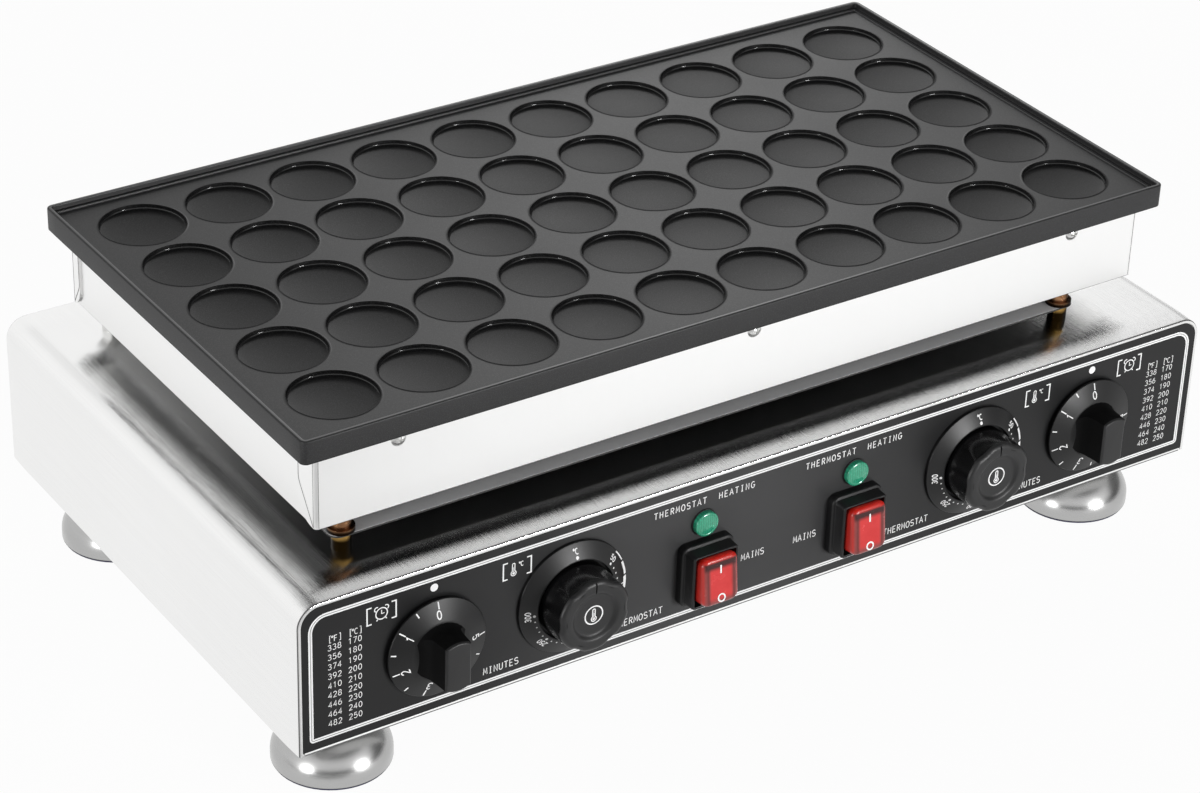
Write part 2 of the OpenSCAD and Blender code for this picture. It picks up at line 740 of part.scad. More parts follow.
module element_clamps() color("silver") difference() {
  l = element_runs * run_pitch;
  for (side = [-1, 1], x = clamp_x) translate([side * x, 0, clamp_z + clamp_t / 2])
    cube([clamp_w, l, clamp_t], center = true);
  at_clamp_screws() translate([0, 0, -cut]) cylinder(r = screw_r + fit, h = clamp_t + 2 * cut);
}

module clamp_screws() color("silver") at_clamp_screws() rotate([180, 0, 0])
  pan_screw(2 * screw_r, 1.2 * screw_r, screw_r, clamp_t + 0.7 * boss_h);

// Sensor bulb between the middle runs, and its thin tube down the front post to the thermostat
module thermostat_bulb(side) color("#b87333") {
  i = side < 0 ? 0 : 1;
  bulb_z = plate_z - seat - bulb_d / 2;
  low_z = (floor_top + insulation_t + plate_z - rib_h) / 2;
  near = side * (run_near - bulb_d);
  y_in = -rib_in_y + 2 * line_d;
  body_y = face_y + panel_back + body_depth;
  body_z = cabinet_z + thermostat_z + 0.3 * thermostat_body;
  translate([side * run_near, 0, bulb_z]) rotate([0, side * 90, 0]) cylinder(d = bulb_d, h = bulb_l);
  pipe([[side * (run_near + line_d), 0, bulb_z], [near, 0, bulb_z], [near, 0, low_z], [near, y_in, low_z],
    [post_x[i], y_in, low_z], [post_x[i], -post_y, low_z], [post_x[i], -post_y, body_z],
    [side * thermostat_x, -post_y, body_z], [side * thermostat_x, body_y, body_z]], line_d / 2);
}

module thermostat_bulb_left() thermostat_bulb(-1);
module thermostat_bulb_right() thermostat_bulb(1);

// Controls

// Bush in the panel in front of a control's body, with the bore for its shaft through both
module bushed_body() difference() {
  union() {
    translate([0, 0, -panel_back - body_depth]) linear_extrude(body_depth) children();
    translate([0, 0, -panel_back - cut]) cylinder(d = bush_d, h = panel_back + bush_reach + cut);
  }
  translate([0, 0, -panel_back - shaft_in - 1])
    cylinder(r = shaft_d / 2 + shaft_play, h = shaft_in + panel_back + body_depth);
}

// Shaft from the body into a knob whose lower face is at knob_low, with a flat for the knob
module control_shaft(knob_low) difference() {
  length = panel_back + shaft_in + knob_low + shaft_out;
  translate([0, 0, -panel_back - shaft_in]) cylinder(d = shaft_d, h = length);
  translate([-shaft_d / 2, shaft_d / 3, knob_low + 1]) cube([shaft_d, shaft_d, shaft_out]);
}

module shaft_bore(knob_low) translate([0, 0, knob_low - cut])
  cylinder(r = shaft_d / 2 + shaft_play, h = shaft_out + cut + fit);

module timer_body(side) color("#d8d4c8") on_panel(side * timer_x, timer_z)
  bushed_body() circle(d = timer_body_d);
module timer_shaft(side) color("silver") on_panel(side * timer_x, timer_z) control_shaft(skirt_z);

module timer_body_left() timer_body(-1);
module timer_body_right() timer_body(1);
module timer_shaft_left() timer_shaft(-1);
module timer_shaft_right() timer_shaft(1);

// Skirt with a sloping face, round hub, and a bar grip with flared flanks that keeps the hub's round ends
module timer_knob(side) color("#222224") on_panel(side * timer_x, timer_z) difference() {
  r = timer_d / 2;
  hub = timer_hub_d / 2;
  slope = skirt_z + skirt_h;
  top = slope + skirt_t;
  grip_h = timer_reach - top;
  half = grip_w / 2;
  flank = [[hub + grip_draft, skirt_z], [hub, top], [half + grip_flare, top + 0.12 * grip_h],
    [half + grip_flare / 3, top + 0.4 * grip_h], [half, timer_reach]];
  union() {
    rotate_extrude() polygon([[0, skirt_z], [r, skirt_z], [r, skirt_z + skirt_t], [hub + skirt_t, slope],
      [hub, top], [0, top]]);
    intersection() {
      translate([0, 0, skirt_z])
        cylinder(r1 = hub + grip_draft / 3, r2 = hub - grip_draft * 2 / 3, h = timer_reach - skirt_z);
      rotate([90, 0, 0]) linear_extrude(timer_d, center = true)
        polygon(concat(flank, [for (i = [len(flank) - 1:-1:0]) [-flank[i].x, flank[i].y]]));
    }
  }
  shaft_bore(skirt_z);
}

module timer_knob_left() timer_knob(-1);
module timer_knob_right() timer_knob(1);

module thermostat_body(side) color("#d8d4c8") on_panel(side * thermostat_x, thermostat_z)
  bushed_body() square(thermostat_body, center = true);
module thermostat_shaft(side) color("silver") on_panel(side * thermostat_x, thermostat_z)
  control_shaft(knob_z);

module thermostat_body_left() thermostat_body(-1);
module thermostat_body_right() thermostat_body(1);
module thermostat_shaft_left() thermostat_shaft(-1);
module thermostat_shaft_right() thermostat_shaft(1);

// Fixed dial ring with a sloping face around the knob
module thermostat_bezel(side) color("#262628") on_panel(side * thermostat_x, thermostat_z) rotate_extrude()
  polygon([[bush_hole_r, 0], [bezel_d / 2, 0], [bezel_d / 2, bezel_low],
    [bezel_in_r + bezel_crest, bezel_high], [bezel_in_r, bezel_high],
    [bezel_in_r, bezel_floor], [bush_hole_r, bezel_floor]]);

module thermostat_bezel_left() thermostat_bezel(-1);
module thermostat_bezel_right() thermostat_bezel(1);

// Round knob with flutes that run out towards its foot, a dished face and a pointer groove
module thermostat_knob(side) color("#1c1c1e") on_panel(side * thermostat_x, thermostat_z) difference() {
  r = knob_d / 2;
  h = knob_reach - knob_z;
  dish = (dish_r * dish_r + dish_depth * dish_depth) / (2 * dish_depth);
  lean = atan(flute_depth / (0.75 * h));
  translate([0, 0, knob_z]) rotate_extrude() {
    square([r, h - knob_edge_r]);
    square([r - knob_edge_r, h]);
    translate([r - knob_edge_r, h - knob_edge_r]) circle(knob_edge_r);
  }
  for (i = [0:knob_lobes - 1]) rotate([0, 0, (i + 0.5) * 360 / knob_lobes + 90])
    translate([r + flute_r - flute_depth, 0, knob_reach]) rotate([0, lean, 0])
      translate([0, 0, -2 * h]) cylinder(r = flute_r, h = 3 * h);
  translate([0, 0, knob_reach + dish - dish_depth]) sphere(dish);
  translate([-pointer_w / 2, dish_r + 1, knob_reach - pointer_w]) cube([pointer_w, r, 2 * pointer_w]);
  shaft_bore(knob_z);
}

module thermostat_knob_left() thermostat_knob(-1);
module thermostat_knob_right() thermostat_knob(1);

// Two-step frame and housing of a switch, with the round pocket that the rocker swings in
module switch_frame(side) color("#18181a") on_panel(side * switch_x, switch_z) difference() {
  pocket_r = rocker_r + rocker_gap;
  union() {
    translate([0, 0, -panel_back - switch_depth]) linear_extrude(panel_back + switch_depth + frame_step)
      square([frame_w, frame_h], center = true);
    linear_extrude(frame_step)
      rounded_rect(frame_w + 2 * frame_brim, frame_h + 2 * frame_brim, frame_wall + frame_brim);
    linear_extrude(frame_reach) rounded_rect(frame_w, frame_h, frame_wall);
  }
  across(rocker_w + 2 * rocker_gap) {
    translate([0, rocker_pivot]) circle(pocket_r);
    translate([-pocket_r, rocker_pivot]) square([2 * pocket_r, rocker_r]);
  }
  translate([0, 0, rocker_pivot]) rotate([0, 90, 0])
    cylinder(r = trunnion_r + shaft_play, h = rocker_w + 2 * rocker_gap + 1.3 * frame_wall, center = true);
}

module switch_frame_left() switch_frame(-1);
module switch_frame_right() switch_frame(1);

// Rocker turned about its pivot with its upper half pressed in
module rocker(side) color("#c4161c") on_panel(side * switch_x, switch_z) translate([0, 0, rocker_pivot]) {
  rotate([-rocker_tilt, 0, 0]) intersection() {
    across(rocker_w) intersection() {
      circle(rocker_r);
      polygon([[-rocker_r, rocker_end], [0, rocker_mid], [rocker_r, rocker_end],
        [rocker_r, -rocker_r], [-rocker_r, -rocker_r]]);
    }
    linear_extrude(3 * rocker_r, center = true) rounded_rect(rocker_w, 2 * rocker_r, rocker_corner_r);
  }
  rotate([0, 90, 0])
    cylinder(r = trunnion_r, h = rocker_w + 2 * rocker_gap + 1.1 * frame_wall, center = true);
}

module rocker_left() rocker(-1);
module rocker_right() rocker(1);

module lamp_body(side) color("#1a1a1a") on_panel(side * lamp_x, lamp_z) difference() {
  union() {
    cylinder(d = lamp_d, h = lamp_rim);
    translate([0, 0, -panel_back - 2 * barrel_d])
      cylinder(d = barrel_d, h = panel_back + 2 * barrel_d + cut);
  }
  translate([0, 0, lamp_rim - stub_d / 2]) cylinder(d = stub_d + fit, h = stub_d);
}

module lamp_lens(side) color("#1fa57a") on_panel(side * lamp_x, lamp_z) {
  low = lamp_rim + 0.55 * (lens_reach - lamp_rim);
  cap_h = lens_reach - low;
  dome = (lens_d * lens_d / 4 + cap_h * cap_h) / (2 * cap_h);
  translate([0, 0, lamp_rim]) intersection() {
    cylinder(d = lens_d, h = lens_reach);
    translate([0, 0, lens_reach - lamp_rim - dome]) sphere(dome, $fn = 96);
  }
  translate([0, 0, lamp_rim - 0.4 * stub_d]) cylinder(d = stub_d, h = 0.4 * stub_d + cut);
}

module lamp_body_left() lamp_body(-1);
module lamp_body_right() lamp_body(1);
module lamp_lens_left() lamp_lens(-1);
module lamp_lens_right() lamp_lens(1);

// Rear and supply

module cable_gland() color("#2a2a2c") on_rear(gland_x, gland_z) difference() {
  thread_r = gland_thread_d / 2;
  collar_h = 0.25 * gland_reach;
  union() {
    translate([0, 0, -sheet_t - thread_r]) cylinder(r = thread_r, h = sheet_t + thread_r + cut);
    cylinder(r = 1.55 * thread_r, h = collar_h, $fn = 6);
    cylinder(r = 1.3 * thread_r, h = gland_reach - collar_h);
    translate([0, 0, gland_reach - collar_h]) cylinder(r1 = 1.3 * thread_r, r2 = thread_r, h = collar_h);
  }
  translate([0, 0, -gland_thread_d]) cylinder(d = gland_bore_d, h = gland_thread_d + gland_reach + cut);
}

module gland_nut() color("#2a2a2c") on_rear(gland_x, gland_z) difference() {
  nut_t = 0.35 * gland_thread_d;
  translate([0, 0, -sheet_t - nut_t]) cylinder(r = 0.75 * gland_thread_d, h = nut_t, $fn = 6);
  translate([0, 0, -gland_thread_d]) cylinder(d = gland_thread_d + fit, h = gland_thread_d);
}

module terminal_block() color("ivory") translate([0, foot_y - 0.8 * terminal_d, cabinet_z + 2 * sheet_t]) {
  w = terminal_ways * terminal_pitch;
  divider = terminal_pitch / 7;
  translate([-w / 2, 0, 0]) cube([w, terminal_d, terminal_h]);
  for (i = [0:terminal_ways]) translate([i * terminal_pitch - w / 2 - divider / 2, 0, 0.8 * terminal_h])
    cube([divider, terminal_d, 0.8 * terminal_h]);
}

base_shell();
control_panel();
panel_overlay();
rear_panel();
bottom_plate();
bottom_screws();
foot_front_left();
foot_front_right();
foot_rear_left();
foot_rear_right();
foot_pads();
foot_bolts();
foot_nuts();
post_front_left();
post_front_right();
post_rear_left();
post_rear_right();
post_collars();
post_nuts();
heat_shield();
box_front_panel();
box_rear_panel();
box_left_panel();
box_right_panel();
box_screws();
box_floor();
insulation_slab();
baking_plate();
heating_element_left();
heating_element_right();
element_clamps();
clamp_screws();
thermostat_body_left();
thermostat_body_right();
thermostat_bulb_left();
thermostat_bulb_right();
thermostat_shaft_left();
thermostat_shaft_right();
thermostat_bezel_left();
thermostat_bezel_right();
thermostat_knob_left();
thermostat_knob_right();
timer_body_left();
timer_body_right();
timer_shaft_left();
timer_shaft_right();
timer_knob_left();
timer_knob_right();
switch_frame_left();
switch_frame_right();
rocker_left();
rocker_right();
lamp_body_left();
lamp_body_right();
lamp_lens_left();
lamp_lens_right();
cable_gland();
gland_nut();
terminal_block();
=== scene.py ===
import math

import bmesh
import bpy
from mathutils import Matrix, Vector


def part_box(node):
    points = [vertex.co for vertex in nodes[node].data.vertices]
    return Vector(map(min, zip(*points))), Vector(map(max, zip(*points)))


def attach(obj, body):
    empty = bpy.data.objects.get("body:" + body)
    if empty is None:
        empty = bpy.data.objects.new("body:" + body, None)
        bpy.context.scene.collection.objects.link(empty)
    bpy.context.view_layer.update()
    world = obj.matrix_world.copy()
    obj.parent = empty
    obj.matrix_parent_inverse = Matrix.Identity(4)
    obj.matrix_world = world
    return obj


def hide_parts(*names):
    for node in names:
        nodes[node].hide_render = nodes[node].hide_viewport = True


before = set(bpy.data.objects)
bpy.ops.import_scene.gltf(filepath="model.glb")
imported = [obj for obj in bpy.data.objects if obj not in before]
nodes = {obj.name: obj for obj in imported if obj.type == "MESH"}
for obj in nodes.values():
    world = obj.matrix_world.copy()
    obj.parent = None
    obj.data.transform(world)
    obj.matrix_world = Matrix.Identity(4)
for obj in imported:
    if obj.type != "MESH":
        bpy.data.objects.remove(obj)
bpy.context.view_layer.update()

# Lengths are in millimetres and become metres where a mesh or a finish is made.
MM = 0.001


def cad(node):
    """Lowest and highest corner of a node in millimetres."""
    low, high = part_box(node)
    return Vector(low) / MM, Vector(high) / MM


def middle(node):
    """Middle of a node's box in millimetres."""
    low, high = cad(node)
    return (low + high) / 2


SIDES = ("left", "right")
FACE_Y = cad("panel_overlay")[0].y
CABINET_Z = cad("base_shell")[0].z


# Finishes

class Wire:
    """An output of a node. Sums and products of wires add Math nodes to the same finish."""

    def __init__(self, finish, socket):
        self.finish = finish
        self.socket = socket

    def math(self, operation, *values):
        return self.finish.node("Math", dict(enumerate(values)), {"operation": operation})

    def __add__(self, other):
        return self.math("ADD", self, other)

    __radd__ = __add__

    def __sub__(self, other):
        return self.math("SUBTRACT", self, other)

    def __rsub__(self, other):
        return self.math("SUBTRACT", other, self)

    def __mul__(self, other):
        return self.math("MULTIPLY", self, other)

    __rmul__ = __mul__

    def __abs__(self):
        return self.math("ABSOLUTE", self)

    def above(self, edge, blur):
        """0 below the edge and 1 above it, with a soft step as wide as the blur."""
        return self.finish.node("MapRange", {0: self, 1: edge - blur / 2, 2: edge + blur / 2},
                                {"interpolation_type": "SMOOTHSTEP", "clamp": True})

    def below(self, edge, blur):
        """1 below the edge and 0 above it."""
        return 1 - self.above(edge, blur)


class Finish:
    """The nodes of a material or of the world."""

    def __init__(self, owner, output="ShaderNodeOutputMaterial"):
        owner.use_nodes = True
        self.owner = owner
        self.tree = owner.node_tree
        self.tree.nodes.clear()
        self.output = self.tree.nodes.new(output)

    def node(self, kind, sockets=None, settings=None, out=0):
        """Adds a node of a kind: its settings are made first, then the values or links of its sockets."""
        made = self.tree.nodes.new("ShaderNode" + kind)
        for key, value in (settings or {}).items():
            setattr(made, key, value)
        for key, value in (sockets or {}).items():
            if isinstance(value, Wire):
                self.tree.links.new(value.socket, made.inputs[key])
            else:
                made.inputs[key].default_value = value
        return Wire(self, made.outputs[out])

    def place(self):
        """Place on the piece in metres."""
        return self.node("TexCoord", out="Object")

    def axis(self, letter):
        """One coordinate of the place on the piece, in millimetres."""
        return self.node("SeparateXYZ", {0: self.place()}, out=letter) * (1 / MM)

    def noise(self, stretch, detail=2.0, rough=0.5):
        """Noise with so many cycles a metre: one number, or three for x, y and z."""
        scale = stretch if isinstance(stretch, tuple) else (stretch,) * 3
        spread = self.node("Mapping", {"Vector": self.place(), "Scale": scale})
        return self.node("TexNoise", {"Vector": spread, "Scale": 1.0, "Detail": detail, "Roughness": rough})

    def colour(self, value):
        """A wire as it is, or a colour with full alpha."""
        return value if isinstance(value, Wire) else (*value, 1)

    def blend(self, amount, low, high):
        """Mixes two colours by a wire."""
        return self.node("Mix", {0: amount, 6: self.colour(low), 7: self.colour(high)},
                         {"data_type": "RGBA"}, out=2)

    def bump(self, height, strength, depth):
        """Normal of a surface that a wire raises by up to a depth in millimetres."""
        return self.node("Bump", {"Strength": strength, "Distance": depth * MM, "Height": height})

    def end(self, shader):
        """Links the shader to the output, and returns the material or world."""
        self.tree.links.new(shader.socket, self.output.inputs["Surface"])
        return self.owner

    def surface(self, **sockets):
        """Ends the finish in one shader. Underscores stand for the spaces in the sockets' names."""
        named = {key.replace("_", " "): value for key, value in sockets.items()}
        named["Base Color"] = self.colour(named["Base Color"])
        return self.end(self.node("BsdfPrincipled", named))


def finish_for(name):
    return Finish(bpy.data.materials.new(name))


def scaled(colour, factor):
    """A colour made lighter or darker."""
    return tuple(min(1.0, c * factor) for c in colour)


def brushed_sheet(name, tone, rough, stretch, contrast=0.03, depth=0.004, uneven=1.0, shade_below=None):
    """Brushed sheet: streaks drawn out along the brush, and slow changes of gloss.

    The last argument paints shade below a height: it holds that height, and the share of the tone that is
    left below it.
    """
    steel = finish_for(name)
    streak = steel.noise(stretch, detail=5.0, rough=0.65)
    cloud = steel.noise(9, detail=3.0)
    shade = streak * 0.6 + cloud * 0.4
    colour = steel.blend(shade.above(0.5, 0.6), scaled(tone, 1 - contrast), scaled(tone, 1 + contrast))
    # Painted shade below a height
    if shade_below:
        height, share = shade_below
        colour = steel.blend(steel.axis("Z").above(height, 0.3), scaled(tone, share), colour)
    return steel.surface(
        Base_Color=colour, Metallic=1.0,
        Roughness=(streak * 0.08 + cloud * 0.06 - 0.07) * uneven + rough,
        Normal=steel.bump(streak, 0.3, depth))


def turned_metal(name, bright, dark, rough, shade_height=None, rear=None):
    """Turned or drawn metal with fine rings and faint tarnish.

    It is painted dark below a height as shade, and takes the rear colour behind the middle of the part.
    """
    metal = finish_for(name)
    tarnish = metal.noise((120, 120, 160), detail=4.0)
    rings = metal.noise((60, 60, 2600))
    colour = metal.blend(tarnish.above(0.52, 0.3), dark, bright)
    # Painted shade below the height
    if shade_height:
        colour = metal.blend(metal.axis("Z").above(shade_height, 3), scaled(dark, 0.04), colour)
    if rear:
        colour = metal.blend(metal.axis("Y").above(0, 10), colour, rear)
    return metal.surface(
        Base_Color=colour, Metallic=1.0,
        Roughness=rough + tarnish * 0.15, Normal=metal.bump(rings, 0.2, 0.01))


def galvanised_sheet(underside):
    """Dull zinc coat with spangles, painted dark as shade on its underside and up its front edge, but less at
    the left rear.
    """
    zinc = finish_for("galvanised_sheet")
    spangle = zinc.node("TexVoronoi", {"Vector": zinc.place(), "Scale": 130.0}, out="Color")
    tone = zinc.node("SeparateColor", {0: spangle})
    cloud = zinc.noise(30, detail=3.0)
    # Painted shade below the top face, lighter at the left rear
    upper = zinc.axis("Z").above(underside + 1.12, 0.16)
    less_shade = zinc.axis("X").below(-205, 90) * zinc.axis("Y").above(-20, 220)
    bright = zinc.blend(tone * 0.6 + cloud * 0.4, (0.88, 0.88, 0.885), (0.96, 0.96, 0.965))
    lower = zinc.blend(less_shade, (0.02, 0.02, 0.02), (0.8, 0.8, 0.8))
    return zinc.surface(Base_Color=zinc.blend(upper, lower, bright), Roughness=0.48 + tone * 0.12)


def moulded(name, colour, rough, grain=0.012, gloss=0.3):
    """Moulded plastic with a fine skin grain and slightly uneven gloss."""
    plastic = finish_for(name)
    skin = plastic.noise(2600)
    cloud = plastic.noise(40, detail=3.0)
    return plastic.surface(
        Base_Color=plastic.blend(cloud, colour, scaled(colour, 1.4)), Roughness=rough - 0.05 + cloud * 0.1,
        Normal=plastic.bump(skin, 0.25, grain), Specular_IOR_Level=gloss)


def coated_cast(name, tone, rough, gloss):
    """Dark coating on cast metal with fine orange-peel and paler specks."""
    coat = finish_for(name)
    peel = coat.noise(1500, detail=3.0, rough=0.6)
    speck = coat.noise(2300, detail=1.0)
    cloud = coat.noise(14, detail=4.0)
    plain = coat.blend(cloud, (tone, tone, tone * 1.03), (tone * 1.5, tone * 1.5, tone * 1.54))
    return coat.surface(
        Base_Color=coat.blend(speck.above(0.58, 0.12) * 0.5, plain, (0.05, 0.05, 0.052)),
        Roughness=rough - 0.07 + peel * 0.1 + cloud * 0.05, Specular_IOR_Level=gloss,
        Normal=coat.bump(peel, 0.3, 0.025))


def printed_film():
    """Satin printed film, with a painted sheen of reflected light that makes it paler between the switches.
    """
    film = finish_for("printed_film")
    skin = film.noise(3200)
    cloud = film.noise(6, detail=3.0)
    # Painted sheen, paler between the switches
    painted_sheen = abs(film.axis("X") + 45).below(100, 170)
    return film.surface(
        Base_Color=film.blend(painted_sheen * 0.8 + cloud * 0.2, (0.004, 0.004, 0.0043), (0.046, 0.046, 0.047)),
        Roughness=0.3 + cloud * 0.08, Specular_IOR_Level=0.24, Normal=film.bump(skin, 0.2, 0.01))


def printing_ink(name, tone):
    """Matt ink that covers slightly unevenly."""
    ink = finish_for(name)
    cover = ink.noise(1800)
    return ink.surface(Base_Color=ink.blend(cover, scaled((tone, tone, tone), 0.9), (tone, tone, tone)),
                       Roughness=0.45 + cover * 0.1)


def red_cap(place):
    """Red rocker: a window painted as lit in a greyer border, with a ring of painted shade around the window,
    a band of painted shade and a painted highlight strip at its upper end.
    """
    red = finish_for("red_rocker")
    across = abs(abs(red.axis("X")) - abs(place.x))
    height = red.axis("Z") - place.z
    cloud = red.noise(160, detail=3.0)
    skirt = red.blend(cloud, (0.2, 0.03, 0.028), (0.3, 0.06, 0.056))
    border = red.blend(across.above(10.3, 1.4), skirt, (0.44, 0.022, 0.016))
    # Ring of painted shade around the window, which is painted as lit
    groove = red.blend(across.above(7.0, 2.0) * across.below(8.8, 2.2) * 0.8, border, (0.09, 0.012, 0.012))
    lit_window = red.blend(cloud, (0.52, 0.018, 0.018), (0.66, 0.045, 0.045))
    plain = red.blend(across.below(7.0, 2.4) * height.above(-9.0, 3.6), groove, lit_window)
    # Band of painted shade near the upper end, then a painted highlight strip at the very top
    shade_banded = red.blend(height.above(8.8, 3.0) * across.below(10.0, 2.0), plain, (0.035, 0.002, 0.002))
    highlight_topped = red.blend(height.above(12.8, 1.4), shade_banded, (0.5, 0.012, 0.006))
    return red.surface(Base_Color=highlight_topped, Roughness=0.22 + cloud * 0.08, Specular_IOR_Level=0.4)


def green_lens():
    """Green lens with fine upright ribs moulded behind its face."""
    green = finish_for("green_lens")
    rib = green.node("TexWave", {"Vector": green.place(), "Scale": 230.0, "Distortion": 0.4},
                     {"wave_type": "BANDS", "bands_direction": "X"})
    cloud = green.noise(500, detail=1.0)
    return green.surface(
        Base_Color=green.blend(rib * 0.6 + cloud * 0.4, (0.008, 0.19, 0.1), (0.03, 0.36, 0.21)),
        Roughness=0.2 + cloud * 0.12, Coat_Weight=0.5, Coat_Roughness=0.1)


def pressed_fibre():
    """Pale insulating wool with visible lint."""
    wool = finish_for("pressed_fibre")
    lint = wool.noise(900, detail=5.0)
    return wool.surface(Base_Color=wool.blend(lint, (0.62, 0.6, 0.52), (0.8, 0.78, 0.7)), Roughness=0.9,
                        Normal=wool.bump(lint, 0.5, 0.2))


# Cycles a metre of the brush's streaks along x, y and z
BRUSH_DEEP = (1500, 9, 1500)
BRUSH_UP = (520, 520, 7)
PLATED = (0.78, 0.78, 0.77)
BOX_SHADE_Z = cad("box_front_panel")[0].z + 0.2
SHIELD_Z = cad("heat_shield")[0].z
SHADE_REACH = 2.5
cabinet_steel = brushed_sheet("brushed_cabinet", (0.88, 0.88, 0.875), 0.12, BRUSH_DEEP, depth=0.45)
panel_steel = brushed_sheet("brushed_panel", (0.8, 0.8, 0.795), 0.25, BRUSH_UP)
# The box's sheets are painted dark at their foot as shade under the box, the sides less so
box_steel, box_side_steel = [
    brushed_sheet(name, (0.93, 0.93, 0.925), 0.28, BRUSH_UP, contrast=0.004, depth=0.0005, uneven=0.2,
                  shade_below=(BOX_SHADE_Z, share))
    for name, share in (("brushed_box", 0.015), ("brushed_box_side", 0.6))]
mill_steel = brushed_sheet("mill_sheet", (0.26, 0.26, 0.26), 0.36, (30, 90, 30), depth=0.02)
lip_steel = brushed_sheet("rolled_lip", (0.95, 0.95, 0.945), 0.34, (7, 520, 520))
# The box's floor is painted near black as shade under the box
shaded_floor_steel = brushed_sheet("box_floor_painted_shade", (0.016, 0.015, 0.014), 0.42, (30, 90, 30), depth=0.02)
foot_steel = brushed_sheet("spun_foot", (0.46, 0.46, 0.457), 0.25, (14, 14, 900), depth=0.003)
zinc_sheet = galvanised_sheet(SHIELD_Z)
bright_steel = turned_metal("bright_zinc", PLATED, (0.66, 0.66, 0.65), 0.2)
hot_steel = turned_metal("heat_tinted_tube", (0.34, 0.31, 0.29), (0.2, 0.17, 0.16), 0.35)
# The posts below the shield and the collars' lower part are painted dark as shade
brass = turned_metal("turned_brass", (0.46, 0.29, 0.09), (0.28, 0.16, 0.04), 0.16,
                     shade_height=SHIELD_Z - SHADE_REACH, rear=PLATED)
copper = turned_metal("reddish_brass", (0.46, 0.25, 0.13), (0.24, 0.12, 0.06), 0.2,
                      shade_height=cad("post_collars")[0].z + SHADE_REACH, rear=PLATED)
# Copies of one coating: the cups' coats are darker as painted shade, the rim's line coat paler as a painted
# highlight
plate_coat = coated_cast("plate_coat", 0.012, 0.46, 0.31)
cup_shade_coat = coated_cast("cup_shade_coat", 0.006, 0.42, 0.1)
wall_coat = coated_cast("cup_wall", 0.004, 0.1, 0.6)
rim_highlight_coat = coated_cast("rim_painted_highlight", 0.05, 0.4, 0.5)
edge_shade_coat = coated_cast("cup_edge_painted_shade", 0.002, 0.5, 0.12)
film = printed_film()
ink = printing_ink("white_ink", 0.9)
grey_ink = printing_ink("grey_ink", 0.34)
dial_black = moulded("dial_black", (0.004, 0.004, 0.0042), 0.38)
gloss_black = moulded("gloss_black", (0.003, 0.003, 0.0032), 0.16, grain=0.0005, gloss=0.5)
satin_black = moulded("satin_black", (0.009, 0.009, 0.0093), 0.42, gloss=0.36)
frame_black = moulded("frame_black", (0.004, 0.004, 0.0043), 0.42)
# Painted shadow for the lines along the box's flanges, bends and the panel's foot
painted_shadow_dark = moulded("seam_shadow", (0.1, 0.1, 0.1), 0.6)
# Painted shade in the creases of the shell's edge and at the feet's bottom
crease_dark = moulded("crease_shadow", (0.09, 0.09, 0.09), 0.6, gloss=0.1)
# Darker black for the timer bar's flank, as painted shade
shaded_flank_black = moulded("shaded_flank_black", (0.003, 0.003, 0.0031), 0.6, gloss=0.06)
pad_blue = moulded("pad_rubber", (0.012, 0.012, 0.045), 0.55, grain=0.03)
nylon = moulded("nylon_black", (0.012, 0.012, 0.012), 0.45)
cream = moulded("cream_moulding", (0.5, 0.47, 0.4), 0.45)
lens_green = green_lens()
wool = pressed_fibre()
rocker_red = red_cap(middle("switch_frame_left"))


def pairs(*stems):
    """Names of nodes that come as a left and a right one."""
    return [stem + "_" + side for stem in stems for side in SIDES]


CORNERS = ["front_left", "front_right", "rear_left", "rear_right"]

for finish, names in {
    cabinet_steel: ["base_shell"],
    panel_steel: ["control_panel", "rear_panel"],
    mill_steel: ["bottom_plate", "element_clamps"],
    shaded_floor_steel: ["box_floor"],
    zinc_sheet: ["heat_shield"],
    box_steel: ["box_front_panel", "box_rear_panel"],
    box_side_steel: ["box_left_panel", "box_right_panel"],
    bright_steel: ["bottom_screws", "box_screws", "clamp_screws", "foot_bolts", "foot_nuts"]
    + pairs("thermostat_shaft", "timer_shaft"),
    foot_steel: ["foot_" + corner for corner in CORNERS],
    pad_blue: ["foot_pads"],
    brass: ["post_" + corner for corner in CORNERS] + ["post_nuts"],
    copper: ["post_collars"] + pairs("thermostat_bulb"),
    wool: ["insulation_slab"],
    plate_coat: ["baking_plate"],
    hot_steel: pairs("heating_element"),
    cream: pairs("thermostat_body", "timer_body") + ["terminal_block"],
    film: ["panel_overlay"],
    dial_black: pairs("thermostat_bezel", "timer_knob"),
    gloss_black: pairs("thermostat_knob"),
    frame_black: pairs("switch_frame", "lamp_body"),
    rocker_red: pairs("rocker"),
    lens_green: pairs("lamp_lens"),
    nylon: ["cable_gland", "gland_nut"],
}.items():
    for name in names:
        mesh = nodes[name].data
        mesh.materials.clear()
        mesh.materials.append(finish)


# Making meshes

def added(name, data):
    """New object in the scene."""
    item = bpy.data.objects.new(name, data)
    bpy.context.scene.collection.objects.link(item)
    return item


